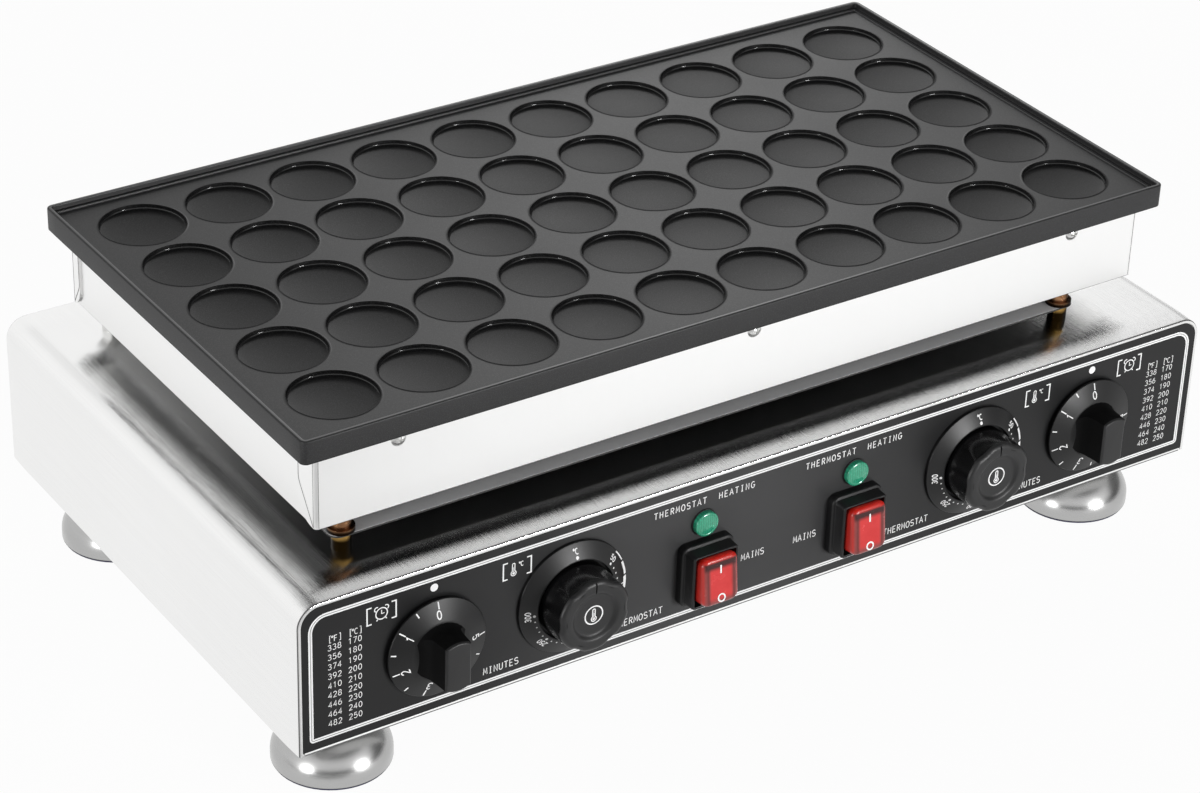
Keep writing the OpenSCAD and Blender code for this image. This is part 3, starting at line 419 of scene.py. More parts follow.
def piece(name, shape, finishes, body="frame", stands_for=(), sharp=35.0, closed=True, tints=None):
    """Adds a mesh given in millimetres, smooth except where its faces meet at a sharp angle.

    tints holds, for each face, its finish's place in the list of finishes.
    """
    verts, faces = shape
    mesh = bpy.data.meshes.new(name)
    mesh.from_pydata([Vector(v) * MM for v in verts], [], faces)
    for finish in finishes if isinstance(finishes, list) else [finishes]:
        mesh.materials.append(finish)
    if tints:
        mesh.polygons.foreach_set("material_index", tints)
    if closed:
        work = bmesh.new()
        work.from_mesh(mesh)
        bmesh.ops.remove_doubles(work, verts=work.verts, dist=1e-6)
        bmesh.ops.recalc_face_normals(work, faces=work.faces)
        work.to_mesh(mesh)
        work.free()
    mesh.shade_smooth()
    mesh.set_sharp_from_angle(angle=math.radians(sharp))
    item = added(name, mesh)
    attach(item, body)
    if stands_for:
        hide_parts(*stands_for)
    return item


def joined(*shapes):
    """One shape from several."""
    verts, faces = [], []
    for more_verts, more_faces in shapes:
        start = len(verts)
        verts += list(more_verts)
        faces += [tuple(i + start for i in face) for face in more_faces]
    return verts, faces


def moved(shape, place):
    """A shape with every corner put through a placing function."""
    return [place(*v) for v in shape[0]], shape[1]


def ring(radius, height, steps):
    """Points of a level circle about the z axis."""
    return [(radius * math.cos(math.tau * k / steps), radius * math.sin(math.tau * k / steps), height)
            for k in range(steps)]


def loft(loops, ends=(True, True)):
    """Skin over closed loops of equal counts, with flat faces over its ends."""
    count = len(loops[0])
    verts = [p for loop in loops for p in loop]
    faces = []
    for row in range(len(loops) - 1):
        for k in range(count):
            a, b = row * count + k, row * count + (k + 1) % count
            faces.append((a, b, b + count, a + count))
    if ends[0]:
        faces.append(tuple(range(count))[::-1])
    if ends[1]:
        faces.append(tuple(range(len(verts) - count, len(verts))))
    return verts, faces


def lathe(profile, steps=72, least_r=0.02):
    """Turns (radius, height) points about the z axis."""
    return loft([ring(max(r, least_r), h, steps) for r, h in profile])


def arc(u, v, ru, rv, start, end, steps=14):
    """Points of an ellipse's arc between two angles in degrees."""
    turns = [math.radians(start + (end - start) * k / steps) for k in range(steps + 1)]
    return [(u + ru * math.cos(turn), v + rv * math.sin(turn)) for turn in turns]


def eased(corners, steps=6):
    """Polyline through (a, b, radius) corners, each rounded to its radius where there is room."""
    path = []
    for i, (a, b, radius) in enumerate(corners):
        here = Vector((a, b))
        if radius == 0 or i in (0, len(corners) - 1):
            path.append((a, b))
            continue
        back = Vector(corners[i - 1][:2]) - here
        ahead = Vector(corners[i + 1][:2]) - here
        reach = min(radius / math.tan(back.angle(ahead) / 2), 0.49 * back.length, 0.49 * ahead.length)
        start = here + back.normalized() * reach
        end = here + ahead.normalized() * reach
        for k in range(steps + 1):
            t = k / steps
            path.append(tuple((1 - t) ** 2 * start + 2 * t * (1 - t) * here + t * t * end))
    return path


def framed(half_w, low, high, r_top, r_low, steps=10):
    """Points of a rectangle whose round corners may differ at the top and at the foot."""
    points = []
    for sx, v, r, start in ((1, high - r_top, r_top, 0), (-1, high - r_top, r_top, 90),
                            (-1, low + r_low, r_low, 180), (1, low + r_low, r_low, 270)):
        points += arc(sx * (half_w - r), v, r, r, start, start + 90, steps)
    return points


def rounded_loop(w, d, r):
    """Points of a rectangle with four alike round corners."""
    return framed(w / 2, -d / 2, d / 2, r, r, 5)


def strip(line, width):
    """Flat band along a polyline of (u, v) points, closed where its ends meet."""
    line = [Vector(p) for p in line]
    shut = len(line) > 2 and (line[0] - line[-1]).length < 1e-6
    if shut:
        line = line[:-1]
    count = len(line)
    sides = []
    for i, here in enumerate(line):
        before = line[i - 1] if i or shut else here
        after = line[(i + 1) % count] if i < count - 1 or shut else here
        along = (here - before).normalized() + (after - here).normalized()
        along = along.normalized() if along.length > 1e-6 else (after - before).normalized()
        edge = (after - here) if (after - here).length > 1e-9 else (here - before)
        lean = max(abs(along.dot(edge.normalized())), 0.5)
        off = Vector((-along.y, along.x)) * width / 2 / lean
        sides += [here + off, here - off]
    faces = [(2 * i, 2 * i + 1, (2 * i + 3) % (2 * count), (2 * i + 2) % (2 * count))
             for i in range(count if shut else count - 1)]
    return [(p.x, p.y) for p in sides], faces


def disc(u, v, radius, steps=20):
    """Flat round spot as a band of one face."""
    return arc(u, v, radius, radius, 0, 360 - 360 / steps, steps - 1), [tuple(range(steps))]


# Single-line figures and capitals, one unit high
GLYPHS = {
    "0": [arc(0.3, 0.5, 0.27, 0.5, 0, 360, 20)],
    "1": [[(0.12, 0.78), (0.33, 1), (0.33, 0)]],
    "2": [arc(0.3, 0.72, 0.26, 0.28, 165, -35) + [(0.04, 0), (0.58, 0)]],
    "3": [arc(0.28, 0.76, 0.24, 0.24, 155, -85) + arc(0.28, 0.27, 0.28, 0.27, 85, -155)],
    "4": [[(0.44, 0), (0.44, 1), (0.02, 0.3), (0.6, 0.3)]],
    "5": [[(0.53, 1), (0.13, 1), (0.08, 0.56)] + arc(0.29, 0.33, 0.28, 0.33, 130, -150)],
    "6": [arc(0.3, 0.31, 0.27, 0.31, 0, 360, 18), arc(0.6, 0.36, 0.57, 0.66, 105, 180)],
    "7": [[(0.04, 1), (0.57, 1), (0.2, 0)]],
    "8": [arc(0.3, 0.76, 0.22, 0.24, 0, 360, 16), arc(0.3, 0.27, 0.27, 0.27, 0, 360, 16)],
    "9": [arc(0.3, 0.69, 0.27, 0.31, 0, 360, 18), arc(0.0, 0.64, 0.57, 0.66, -75, 0)],
    "A": [[(0, 0), (0.3, 1), (0.6, 0)], [(0.1, 0.35), (0.5, 0.35)]],
    "C": [arc(0.34, 0.5, 0.31, 0.5, 50, 310)],
    "E": [[(0.54, 1), (0.08, 1), (0.08, 0), (0.56, 0)], [(0.08, 0.52), (0.46, 0.52)]],
    "F": [[(0.54, 1), (0.08, 1), (0.08, 0)], [(0.08, 0.52), (0.46, 0.52)]],
    "G": [arc(0.34, 0.5, 0.31, 0.5, 50, 330) + [(0.62, 0.45), (0.38, 0.45)]],
    "H": [[(0.06, 0), (0.06, 1)], [(0.54, 0), (0.54, 1)], [(0.06, 0.52), (0.54, 0.52)]],
    "I": [[(0.3, 0), (0.3, 1)], [(0.14, 1), (0.46, 1)], [(0.14, 0), (0.46, 0)]],
    "M": [[(0.02, 0), (0.06, 1), (0.3, 0.3), (0.54, 1), (0.58, 0)]],
    "N": [[(0.06, 0), (0.06, 1), (0.54, 0), (0.54, 1)]],
    "O": [arc(0.3, 0.5, 0.29, 0.5, 0, 360, 18)],
    "R": [[(0.08, 0), (0.08, 1)],
          [(0.08, 1), (0.3, 1)] + arc(0.32, 0.76, 0.22, 0.24, 90, -90) + [(0.08, 0.52)],
          [(0.3, 0.52), (0.56, 0)]],
    "S": [arc(0.3, 0.75, 0.25, 0.25, 30, 260) + arc(0.3, 0.26, 0.27, 0.26, 85, -150)],
    "T": [[(0.0, 1), (0.6, 1)], [(0.3, 1), (0.3, 0)]],
    "U": [[(0.06, 1), (0.06, 0.3)] + arc(0.3, 0.28, 0.24, 0.28, 180, 360) + [(0.54, 1)]],
    "d": [arc(0.14, 0.86, 0.13, 0.14, 0, 360, 12)],
    "[": [[(0.34, 1.12), (0.1, 1.12), (0.1, -0.12), (0.34, -0.12)]],
    "]": [[(0.1, 1.12), (0.34, 1.12), (0.34, -0.12), (0.1, -0.12)]],
}
# Advance of the degree sign, d, and of the brackets
NARROW = {"d": 0.4, "[": 0.42, "]": 0.42}


def shifted(bands, du, dv):
    """Bands moved to the right and up."""
    return [([(u + du, v + dv) for u, v in points], faces) for points, faces in bands]


def lettering(text, height, weight, advance=0.8, at=(0, 0)):
    """Flat bands for a line of text, centred on a point and standing on it."""
    steps = [NARROW.get(c, advance) for c in text]
    u = -sum(steps) * height / 2
    bands = []
    for c, step in zip(text, steps):
        for line in GLYPHS.get(c, []):
            bands.append(strip([(u + a * height, b * height) for a, b in line], weight))
        u += step * height
    return shifted(bands, *at)


# Height of the ink above what it is printed on
INK_LIFT = 0.05


def on_face(x, z, lift=0.0):
    """Places (right, up, out) at a point of the printed face."""
    return lambda u, v, out=0.0: (x + u, FACE_Y - out - lift, z + v)


def laid(bands, place):
    """Bands put on a surface by a placing function of (u, v)."""
    points, faces = joined(*bands)
    return [place(*p) for p in points], faces


def printed(name, shape, body="frame", tone=ink):
    """Adds a flat print."""
    return piece(name, shape, tone, body=body, closed=False)


# Baking plate

CUP_PITCH, COLUMNS, ROWS = 52.0, 10, 5
RIM_H = 4.0
# (radius, height) points of the bead around a cup, and of its short wall with the fillet
BEAD = [(25.0, 0), (24.45, 0), (24.1, 0.16), (23.85, 0.24), (23.62, 0.16), (23.5, -0.1)]
WALL = [(23.42, -0.6), (23.36, -1.1)] + arc(22.15, -1.3, 1.15, 1.15, 0, -85, 8)
# Fall of the cup's floor to its middle, and the radii of its loops
DISH, FLOOR_RADII = 1.0, (18.5, 15, 11.5, 8, 5, 2)
# Places in the plate's list of finishes: the cup's floor, fillet and edge are darker as painted shade, the
# last is paler as a painted highlight on the rim's bends
PLAIN, FLOOR, FILLET, SHADE_EDGE, HIGHLIGHT_LINE = range(5)


def cup_profile():
    """From the plate over a fine bead and a short wall into the dished cup: (radius, height) points."""
    edge_r, edge_z = WALL[-1]
    floor = [(r, edge_z - DISH * (1 - (r / edge_r) ** 2)) for r in FLOOR_RADII]
    return BEAD + WALL + floor


def cup_cell(x, y, top, around):
    """Square of plate surface with one cup."""
    border = []
    for k in range(around):
        c, s = math.cos(math.tau * k / around), math.sin(math.tau * k / around)
        reach = CUP_PITCH / 2 / max(abs(c), abs(s))
        border.append((x + reach * c, y + reach * s, top))
    loops = [[(x + px, y + py, top + pz) for px, py, pz in ring(r, h, around)] for r, h in cup_profile()]
    return loft([border] + loops, (False, True))


def baking_plate():
    """The plate's shape, and for each face its finish: surface, cup's floor, fillet or edge, all painted
    darker as shade, or a line of painted highlight.
    """
    high = cad("baking_plate")[1]
    top = high.z - RIM_H
    around, corner_r, least_r, corner_steps, bend_steps = 48, 4.0, 1.6, 8, 5
    cells = [cup_cell((i - (COLUMNS - 1) / 2) * CUP_PITCH, (j - (ROWS - 1) / 2) * CUP_PITCH, top, around)
             for i in range(COLUMNS) for j in range(ROWS)]
    ticks = [CUP_PITCH / 2 * math.tan(math.tau * k / around) for k in range(-around // 8, around // 8 + 1)]

    def along(count):
        """Where the cells' border points lie along a side of so many cups."""
        return sorted({round((i - (count - 1) / 2) * CUP_PITCH + t, 4) for i in range(count) for t in ticks})

    xs, ys = along(COLUMNS), along(ROWS)
    runs = [ys, xs[::-1], ys[::-1], xs]
    turned = [lambda a, b: (a, b), lambda a, b: (-b, a), lambda a, b: (-a, -b), lambda a, b: (b, -a)]

    def rim_loop(w, d, r, height):
        """Loop at the plate's points, on a rectangle of half sizes w and d with round corners."""
        loop = []
        for quarter, run in enumerate(runs):
            far, side = (w, d) if quarter % 2 == 0 else (d, w)
            flip = -1 if quarter in (1, 2) else 1
            for t in run:
                s = max(r - side, min(side - r, t * flip))
                loop.append((*turned[quarter](far, s), height))
            for a, b in arc(far - r, side - r, r, r, 0, 90, corner_steps)[1:-1]:
                loop.append((*turned[quarter](a, b), height))
        return loop

    def bend_rows(corner):
        """Rows of faces on a rounded corner of the rim's profile."""
        first = 2 + (corner - 1) * (bend_steps + 1)
        return range(first, first + bend_steps)

    profile = eased([(6.4, 0, 0), (4.5, 0, 0.9), (4.35, 1.2, 0.35), (2.7, 1.2, 0.5), (2.4, RIM_H, 0.6),
                     (0, RIM_H, 0.9), (0.05, -9.4, 0.7), (9, -9.4, 0)], bend_steps)
    step_foot, inner_top, outer_foot = 1, 4, 6
    loops = [rim_loop(xs[-1], ys[-1], 0.001, top)]
    loops += [rim_loop(high.x - inset, high.y - inset, max(corner_r - inset, least_r), top + h)
              for inset, h in profile]
    rim = loft(loops, (False, True))
    zones = [PLAIN] * 3 + [SHADE_EDGE] * 5 + [FILLET] * 5
    zones += [FLOOR] * (len(cup_profile()) - len(zones))
    in_cups = [zone for zone in zones for _ in range(around)] + [FLOOR]
    # The rim's bends take a painted highlight, and its outer foot a painted black shade
    highlight_rows = (*bend_rows(step_foot), *bend_rows(inner_top), bend_rows(inner_top).stop)
    lines = dict.fromkeys(highlight_rows, HIGHLIGHT_LINE) | dict.fromkeys(bend_rows(outer_foot), SHADE_EDGE)
    in_rim = [lines.get(i // len(loops[0]), PLAIN) for i in range(len(rim[1]))]
    return joined(*cells, rim), in_cups * len(cells) + in_rim


plate_shape, cup_tints = baking_plate()
piece("cup_plate", plate_shape, [plate_coat, cup_shade_coat, wall_coat, edge_shade_coat, rim_highlight_coat],
      stands_for=["baking_plate"], sharp=50, tints=cup_tints)


# Painted shadow lines along the free edges of the heater box's flanges, the box's bends and the foot of the
# panel

HEM_ENDS = cad("control_panel")[0].x + 1, cad("control_panel")[1].x - 1


def sheet_seams():
    """Dark lines of painted shadow on the sheets."""
    low, high = cad("box_front_panel")
    rear = cad("box_rear_panel")[1].y
    tall = high.z - low.z
    bend, clear, hem_z = 2.0, 0.6, CABINET_Z + 0.2
    shadow_w, bend_w, hem_w = 0.5, 0.3, 0.6
    shapes = []
    for side, x in ((-1, low.x), (1, high.x)):
        for flange, foot, y, step in ((16.7, 22.0, low.y, 1), (8.7, 12.0, rear, -1)):
            edge = eased([(flange, tall, 0), (flange, foot, 9), (bend, clear, 0)], 8)
            line = [strip(edge, shadow_w), strip([(bend, tall), (bend, clear)], bend_w)]
            shapes.append(laid(line, lambda a, up: (x + side * INK_LIFT, y + step * a, low.z + up)))
        for y, step in ((low.y, -1), (rear, 1)):
            line = [strip([(x - side * bend, low.z + clear), (x - side * bend, high.z)], bend_w)]
            shapes.append(laid(line, lambda a, up: (a, y + step * INK_LIFT, up)))
    line = [strip([(x, hem_z) for x in HEM_ENDS], hem_w)]
    shapes.append(laid(line, lambda a, up: (a, FACE_Y - INK_LIFT, up)))
    return joined(*shapes)


def panel_hem():
    """Rolled hem along the panel's foot."""
    section = [(0.3, 0.5), (-0.1, 0.55), (-0.3, 0.8), (-0.3, 1.3), (-0.1, 1.55), (0.3, 1.6)]
    return loft([[(x, FACE_Y + out, CABINET_Z + up) for out, up in section] for x in HEM_ENDS])


piece("sheet_seams", sheet_seams(), painted_shadow_dark, closed=False)
piece("panel_hem", panel_hem(), lip_steel)


# Cabinet shell with a rolled edge around its front and rear openings

def cabinet_shell():
    """The shell's shape, and for each face its finish: brushed, or painted shade in the crease of its edge.
    """
    low, high = cad("base_shell")
    w, r = high.x, 13.0
    sheet, lip, roll, fold, fold_y = 1.2, 2.5, 0.9, 15.0, 149.0
    fall, run, steps = 0.6, 18.0, 12
    crease = (5, 6, 7)
    path = [((-w, low.z), (-1, 0))]
    for sign, start in ((-1, 180), (1, 90)):
        for a, b in arc(0, 0, 1, 1, start, start - 90, 14):
            path.append(((sign * (w - r) + r * a, high.z - r + r * b), (a, b)))
    path.append(((w, low.z), (1, 0)))
    inner = [(low.y + sheet, sheet + fall), (low.y + sheet, lip), (low.y, lip)]
    edge = [(low.y + roll - a, fall + roll - b) for b, a in arc(0, 0, roll, roll, 0, 90, 6)][::-1]
    slope = [(low.y + roll + run * k / steps, fall * (1 - k / steps) ** 2) for k in range(1, steps + 1)]
    half = inner + edge + slope
    section = half + [(-y, inset) for y, inset in half[::-1]]
    loops = [[(p[0] - n[0] * inset, y, p[1] - n[1] * inset) for y, inset in section] for p, n in path]
    folds = []
    for sign in (-1, 1):
        x0, x1 = sorted((sign * (w - fold), sign * (w - sheet / 2)))
        plan = [(x0, -fold_y), (x1, -fold_y), (x1, fold_y), (x0, fold_y)]
        folds.append(loft([[(x, y, low.z + z) for x, y in plan] for z in (0.05, sheet)]))
    shape = joined(loft(loops), *folds)
    dark = [k for i in crease for k in (i, len(section) - 2 - i)]
    creases = [int(k in dark) for _ in path[1:] for k in range(len(section))]
    return shape, creases + [0] * (len(shape[1]) - len(creases))


shell_shape, shell_tints = cabinet_shell()
piece("wrapped_shell", shell_shape, [cabinet_steel, crease_dark],
      stands_for=["base_shell"], sharp=40, tints=shell_tints)


# Bell feet

def bell_foot():
    """A foot's shape, and for each face its finish: polished, or painted shade in the line at the bottom."""
    around, steps, shade_rows = 96, 24, 3
    bell = [(30.6, 0.9), (31.5, 0.9), (31.9, 1.15), (32, 1.6)]
    for k in range(steps + 1):
        turn = math.radians(90 * k / steps)
        lift = max(0.0, (k / steps - 0.2) / 0.8)
        bell.append((12 + 20 * math.cos(turn), 5 + 17 * math.sin(turn) + 3 * lift * lift * (3 - 2 * lift)))
    neck = [(10.4, 25.2), (9.5, 25.8), (9.1, 26.8), (9, 28), (9, 42.2)]
    shape = lathe(bell + neck, around)
    return shape, [int(i < shade_rows * around) for i in range(len(shape[1]))]


for corner in CORNERS:
    spot = middle("foot_" + corner)
    shape, tints = bell_foot()
    piece("bell_" + corner, moved(shape, lambda x, y, z: (x + spot.x, y + spot.y, z)),
          [foot_steel, crease_dark], stands_for=["foot_" + corner], tints=tints)


# Printing on the panel

on_panel = on_face(0, CABINET_Z, INK_LIFT)
border = framed(283.3, 7.2, 80.5, 8.8, 1.2)
border += border[:1]
printed("border_lines", laid([strip(border, 2.25)], on_panel))
printed("border_groove", laid([strip(border, 0.5)], on_face(0, CABINET_Z, 2 * INK_LIFT)), tone=grey_ink)

# Sizes of the table of temperatures, and of the words and signs
ROWS_C = range(170, 251, 10)
ROW_PITCH = 5.7
FIGURE_H, FIGURE_W = 3.3, 0.38
WORD_H, WORD_W = 3.9, 0.5
SIGN = 16.6, 9.8, 0.8


def figure_table():
    """Two columns of temperatures with their headings."""
    bands = []
    columns = ((-5.8, "[dF]", [round(c * 9 / 5 + 32) for c in ROWS_C]), (5.8, "[dC]", ROWS_C))
    last = len(ROWS_C) - 1
    for u, heading, values in columns:
        bands += lettering(heading, FIGURE_H, FIGURE_W, 0.82, (u, (last + 0.87) * ROW_PITCH))
        for row, value in enumerate(values):
            bands += lettering(str(value), FIGURE_H, FIGURE_W, 0.84, (u, (last - row) * ROW_PITCH))
    return bands


def brackets(w, h, weight, hook=2.6):
    """Pair of square brackets about a point."""
    bracket = [(w / 2 - hook, h / 2), (w / 2, h / 2), (w / 2, -h / 2), (w / 2 - hook, -h / 2)]
    return [strip([(s * u, v) for u, v in bracket], weight) for s in (-1, 1)]


def clock_sign():
    """Alarm clock between square brackets."""
    bands = brackets(*SIGN) + [strip(arc(0, -0.2, 3.3, 3.3, 0, 360, 28), 0.65)]
    bands.append(strip([(0, 1.9), (0, -0.3), (1.6, -0.3)], 0.5))
    for s, start in ((-1, 60), (1, -60)):
        bands.append(strip(arc(s * 2.7, 2.8, 1.3, 1.3, start, start + 180, 10), 0.6))
        bands.append(strip([(s * 2.1, -2.9), (s * 2.9, -4.0)], 0.65))
    return bands


def thermometer(h, weight):
    """Bulb and stem of a thermometer."""
    r = 0.2 * h
    stem = 0.5 * r
    low = -h / 2 + r
    foot = low + r * 0.87
    outline = [(stem, foot)] + arc(0, h / 2 - stem, stem, stem, 0, 180, 8) + [(-stem, foot)]
    return [strip(outline + arc(0, low, r, r, 120, 420, 20), weight), disc(0, low, 0.55 * r),
            strip([(0, low), (0, h * 0.18)], 0.7 * weight)]


def heat_sign():
    """Thermometer and degree sign between square brackets."""
    return (brackets(*SIGN) + shifted(thermometer(7.4, 0.55), -2.2, 0)
            + lettering("dC", 2.6, 0.4, at=(2.6, 0.8)))


for side, flip, table_x, clock_x, heat_x, mains_x in (
        ("left", -1, -263.6, -243.0, -164.0, -15.6), ("right", 1, 264.4, 240.5, 174.4, 18.5)):
    for stem, bands, x, up in (("figures_", figure_table(), table_x, 12.8),
                               ("clock_sign_", clock_sign(), clock_x, 70.6),
                               ("heat_sign_", heat_sign(), heat_x, 70.4)):
        printed(stem + side, laid(bands, on_face(x, CABINET_Z + up, INK_LIFT)))
    words = lettering("MINUTES", WORD_H, WORD_W, at=(flip * 172.5, 11.6))
    words += lettering("THERMOSTAT", WORD_H, WORD_W, at=(flip * 88.0, 12.0))
    words += lettering("THERMOSTAT  HEATING", 3.7, WORD_W, 0.92, (flip * 48.5, 72.0))
    words += lettering("MAINS", WORD_H, WORD_W, at=(mains_x, 27.6))
    words.append(disc(flip * 212.8, 75.4, 2.25, 28))
    printed("words_" + side, laid(words, on_panel))


# Timer knobs

def bar_loop(half, radius, height, end_steps=10, side_steps=4):
    """Loop of a bar with round ends, cut from a disc."""
    tip = math.sqrt(radius ** 2 - half ** 2)
    turn = math.degrees(math.asin(half / radius))
    loop = []
    for flip in (1, -1):
        end = arc(0, 0, radius, radius, 90 - turn, 90 + turn, end_steps)
        loop += [(flip * u, flip * v, height) for u, v in end]
        loop += [(-flip * half, flip * tip * (1 - 2 * k / side_steps), height) for k in range(1, side_steps)]
    return loop


SKIRT_R, SKIRT_EDGE, HUB_R, HUB_TOP = 28.5, 3.0, 16.9, 6.6
# Places in the timer knob's list of finishes; the flank's is painted darker as shade
DIAL, GRIP, FLANK = range(3)


def skirt_height(r):
    """Height of the sloping dial at a radius."""
    return SKIRT_EDGE + (SKIRT_R - r) / (SKIRT_R - HUB_R) * (HUB_TOP - SKIRT_EDGE)


def timer_knob():
    """Dial with a bar to grip; and for each face its finish: dial, bar's face, or flank painted darker as
    shade.
    """
    skirt = eased([(4, 1.6, 0), (SKIRT_R, 1.6, 0.5), (SKIRT_R, SKIRT_EDGE, 0.7), (HUB_R, HUB_TOP, 6.0),
                   (9, 7.6, 0), (6, 7.6, 0)], 6)
    flank = [(15.2, 16.6, 6.2), (13.2, 16.2, 7.0), (11.4, 15.8, 7.9), (10, 15.4, 9.1), (9, 15.1, 10.6),
             (8.3, 15, 12.6), (7.9, 14.8, 15.5), (7.6, 14.6, 19), (7.4, 14.5, 22.2)]
    half, radius, inset = 7.4, 14.5, 1.3
    crown = [(half - inset * (1 - a), radius - inset * (1 - a), 22.4 + 1.6 * b)
             for a, b in arc(0, 0, 1, 1, 10, 90, 6)]
    dial = lathe(skirt, 96)
    bar = loft([bar_loop(*step) for step in flank + crown])
    around = len(bar[0]) // len(flank + crown)
    tints = [GRIP if i // around >= len(flank) else FLANK for i in range(len(bar[1]))]
    tints[-2] = FLANK  # the bar's lower end, which loft adds before the upper one
    return joined(dial, bar), [DIAL] * len(dial[1]) + tints


def dial_place(x, z, turn, height):
    """Places (across, radius) on a sloping dial of a height, turned counter-clockwise by degrees."""
    c, s = math.cos(math.radians(turn)), math.sin(math.radians(turn))
    face = on_face(x, z, INK_LIFT)
    return lambda u, v: face(u * c - v * s, u * s + v * c, height(math.hypot(u, v)))


MINUTE_TURN = 54.0
MARK_OUT, MINUTE_IN, HALF_IN = 27.6, 23.9, 24.9
for side in SIDES:
    spot = middle("timer_knob_" + side)
    body = "timer_" + side
    shape, tints = timer_knob()
    piece("bar_knob_" + side, moved(shape, on_face(spot.x, spot.z)), [dial_black, satin_black, shaded_flank_black],
          body=body, stands_for=["timer_knob_" + side], sharp=38, tints=tints)
    marks = []
    for half_minute in range(11):
        whole = half_minute % 2 == 0
        bands = [strip([(0, MARK_OUT), (0, MINUTE_IN if whole else HALF_IN)], 0.75)]
        if whole:
            bands += lettering(str(half_minute // 2), 4.2, 0.65, at=(0, 18.9))
        marks.append(laid(bands, dial_place(spot.x, spot.z, half_minute * MINUTE_TURN / 2, skirt_height)))
    printed("minute_marks_" + side, joined(*marks), body=body)


# Thermostat knobs in their dial rings

RING_R, RING_IN, RING_LOW, RING_HIGH, CREST = 32.75, 23.1, 1.8, 5.6, 0.9
RING_HOLE, RING_FLOOR = 5.2, 1.2


def ring_height(r):
    """Height of the sloping dial ring at a radius."""
    return RING_LOW + (RING_R - r) / (RING_R - RING_IN - CREST) * (RING_HIGH - RING_LOW)


def dial_ring():
    """Fixed ring with the thermostat's scale."""
    return lathe(eased([(RING_HOLE, 0, 0), (RING_R, 0, 0), (RING_R, RING_LOW, 0.6),
                        (RING_IN + CREST, RING_HIGH, 0.7), (RING_IN, RING_HIGH, 0.4),
                        (RING_IN, RING_FLOOR, 0), (RING_HOLE, RING_FLOOR, 0)], 5), 96)


KNOB_R, KNOB_TOP, FLUTE_R, FLUTE_DEPTH, LOBES = 21.7, 23.5, 20.0, 1.0, 6
# Angles of the knob's columns of points in degrees, closer beside the groove that is its pointer
TOP_TURN, TURN_STEP = 90, 2.5
POINTER_TURNS = (-3.2, -2.1, -1.3, -0.9, 0, 0.9, 1.3, 2.1, 3.2)
POINTER_SPAN, GROOVE_SPAN, GROOVE_DEPTH, FACE_DROP = 3.5, 1.0, 0.9, 2
EVEN_TURNS = [k * TURN_STEP for k in range(round(360 / TURN_STEP))]
KNOB_TURNS = sorted([turn for turn in EVEN_TURNS if abs(turn - TOP_TURN) > POINTER_SPAN]
                    + [TOP_TURN + d for d in POINTER_TURNS])


def fluted_radius(turn, radius, depth):
    """Radius of the fluted outline at an angle, with soft shoulders beside each flute."""
    if depth <= 0.001:
        return radius
    pitch = 360 / LOBES
    off = math.radians((turn - TOP_TURN) % pitch - pitch / 2)
    far = radius + FLUTE_R - depth
    under = FLUTE_R ** 2 - (far * math.sin(off)) ** 2
    if under <= 0:
        return radius
    hollow = far * math.cos(off) - math.sqrt(under)
    ease = 0.5
    span = max(0.0, min(1.0, 0.5 + 0.5 * (radius - hollow) / ease))
    return radius * (1 - span) + hollow * span - ease * span * (1 - span)


def polar(radius, turn, height):
    """Point at a radius and an angle in degrees about the z axis."""
    return radius * math.cos(math.radians(turn)), radius * math.sin(math.radians(turn)), height


def lobed_knob():
    """Fluted knob with a dished face; and for each face its finish: glossy side or satin face."""
    taper, steps = 0.5, 8
    flank = [(KNOB_R, 0, 1.9), (KNOB_R, 0, 5.5)]
    for k in range(steps + 1):
        t = k / steps
        flank.append((KNOB_R - taper * t, FLUTE_DEPTH * t ** 0.8, 6.5 + 14.5 * t))
    crown = [(KNOB_R - taper - 3.0 * (1 - a), FLUTE_DEPTH, 20.9 + 2.6 * b)
             for a, b in arc(0, 0, 1, 1, 12, 90, 6)]
    loops = [[polar(fluted_radius(turn, radius, flute), turn, height) for turn in KNOB_TURNS]
             for radius, flute, height in flank + crown]
    first = len(loops)
    dish = [(17.5, 0), (15.6, 0), (14.4, -0.06), (13.6, -0.4), (12.8, -1.2), (12.1, -1.75),
            (11.2, -1.96), (9.6, -FACE_DROP), (7, -FACE_DROP), (3, -FACE_DROP)]
    loops += [[polar(r, turn, KNOB_TOP + drop) for turn in KNOB_TURNS] for r, drop in dish]
    for row in range(first - 3, first + 3):
        for k, turn in enumerate(KNOB_TURNS):
            if abs(turn - TOP_TURN) < GROOVE_SPAN:
                x, y, z = loops[row][k]
                loops[row][k] = (x, y, z - GROOVE_DEPTH)
    shape = loft(loops)
    total = len(shape[1])
    start = (len(flank) - 1) * len(KNOB_TURNS)
    return shape, [int(i >= start and i != total - 2) for i in range(total)]


def heat_turn(celsius):
    """Angle of a temperature on the scale, clockwise from the top in degrees."""
    return 54 + (celsius - 50) * 0.848


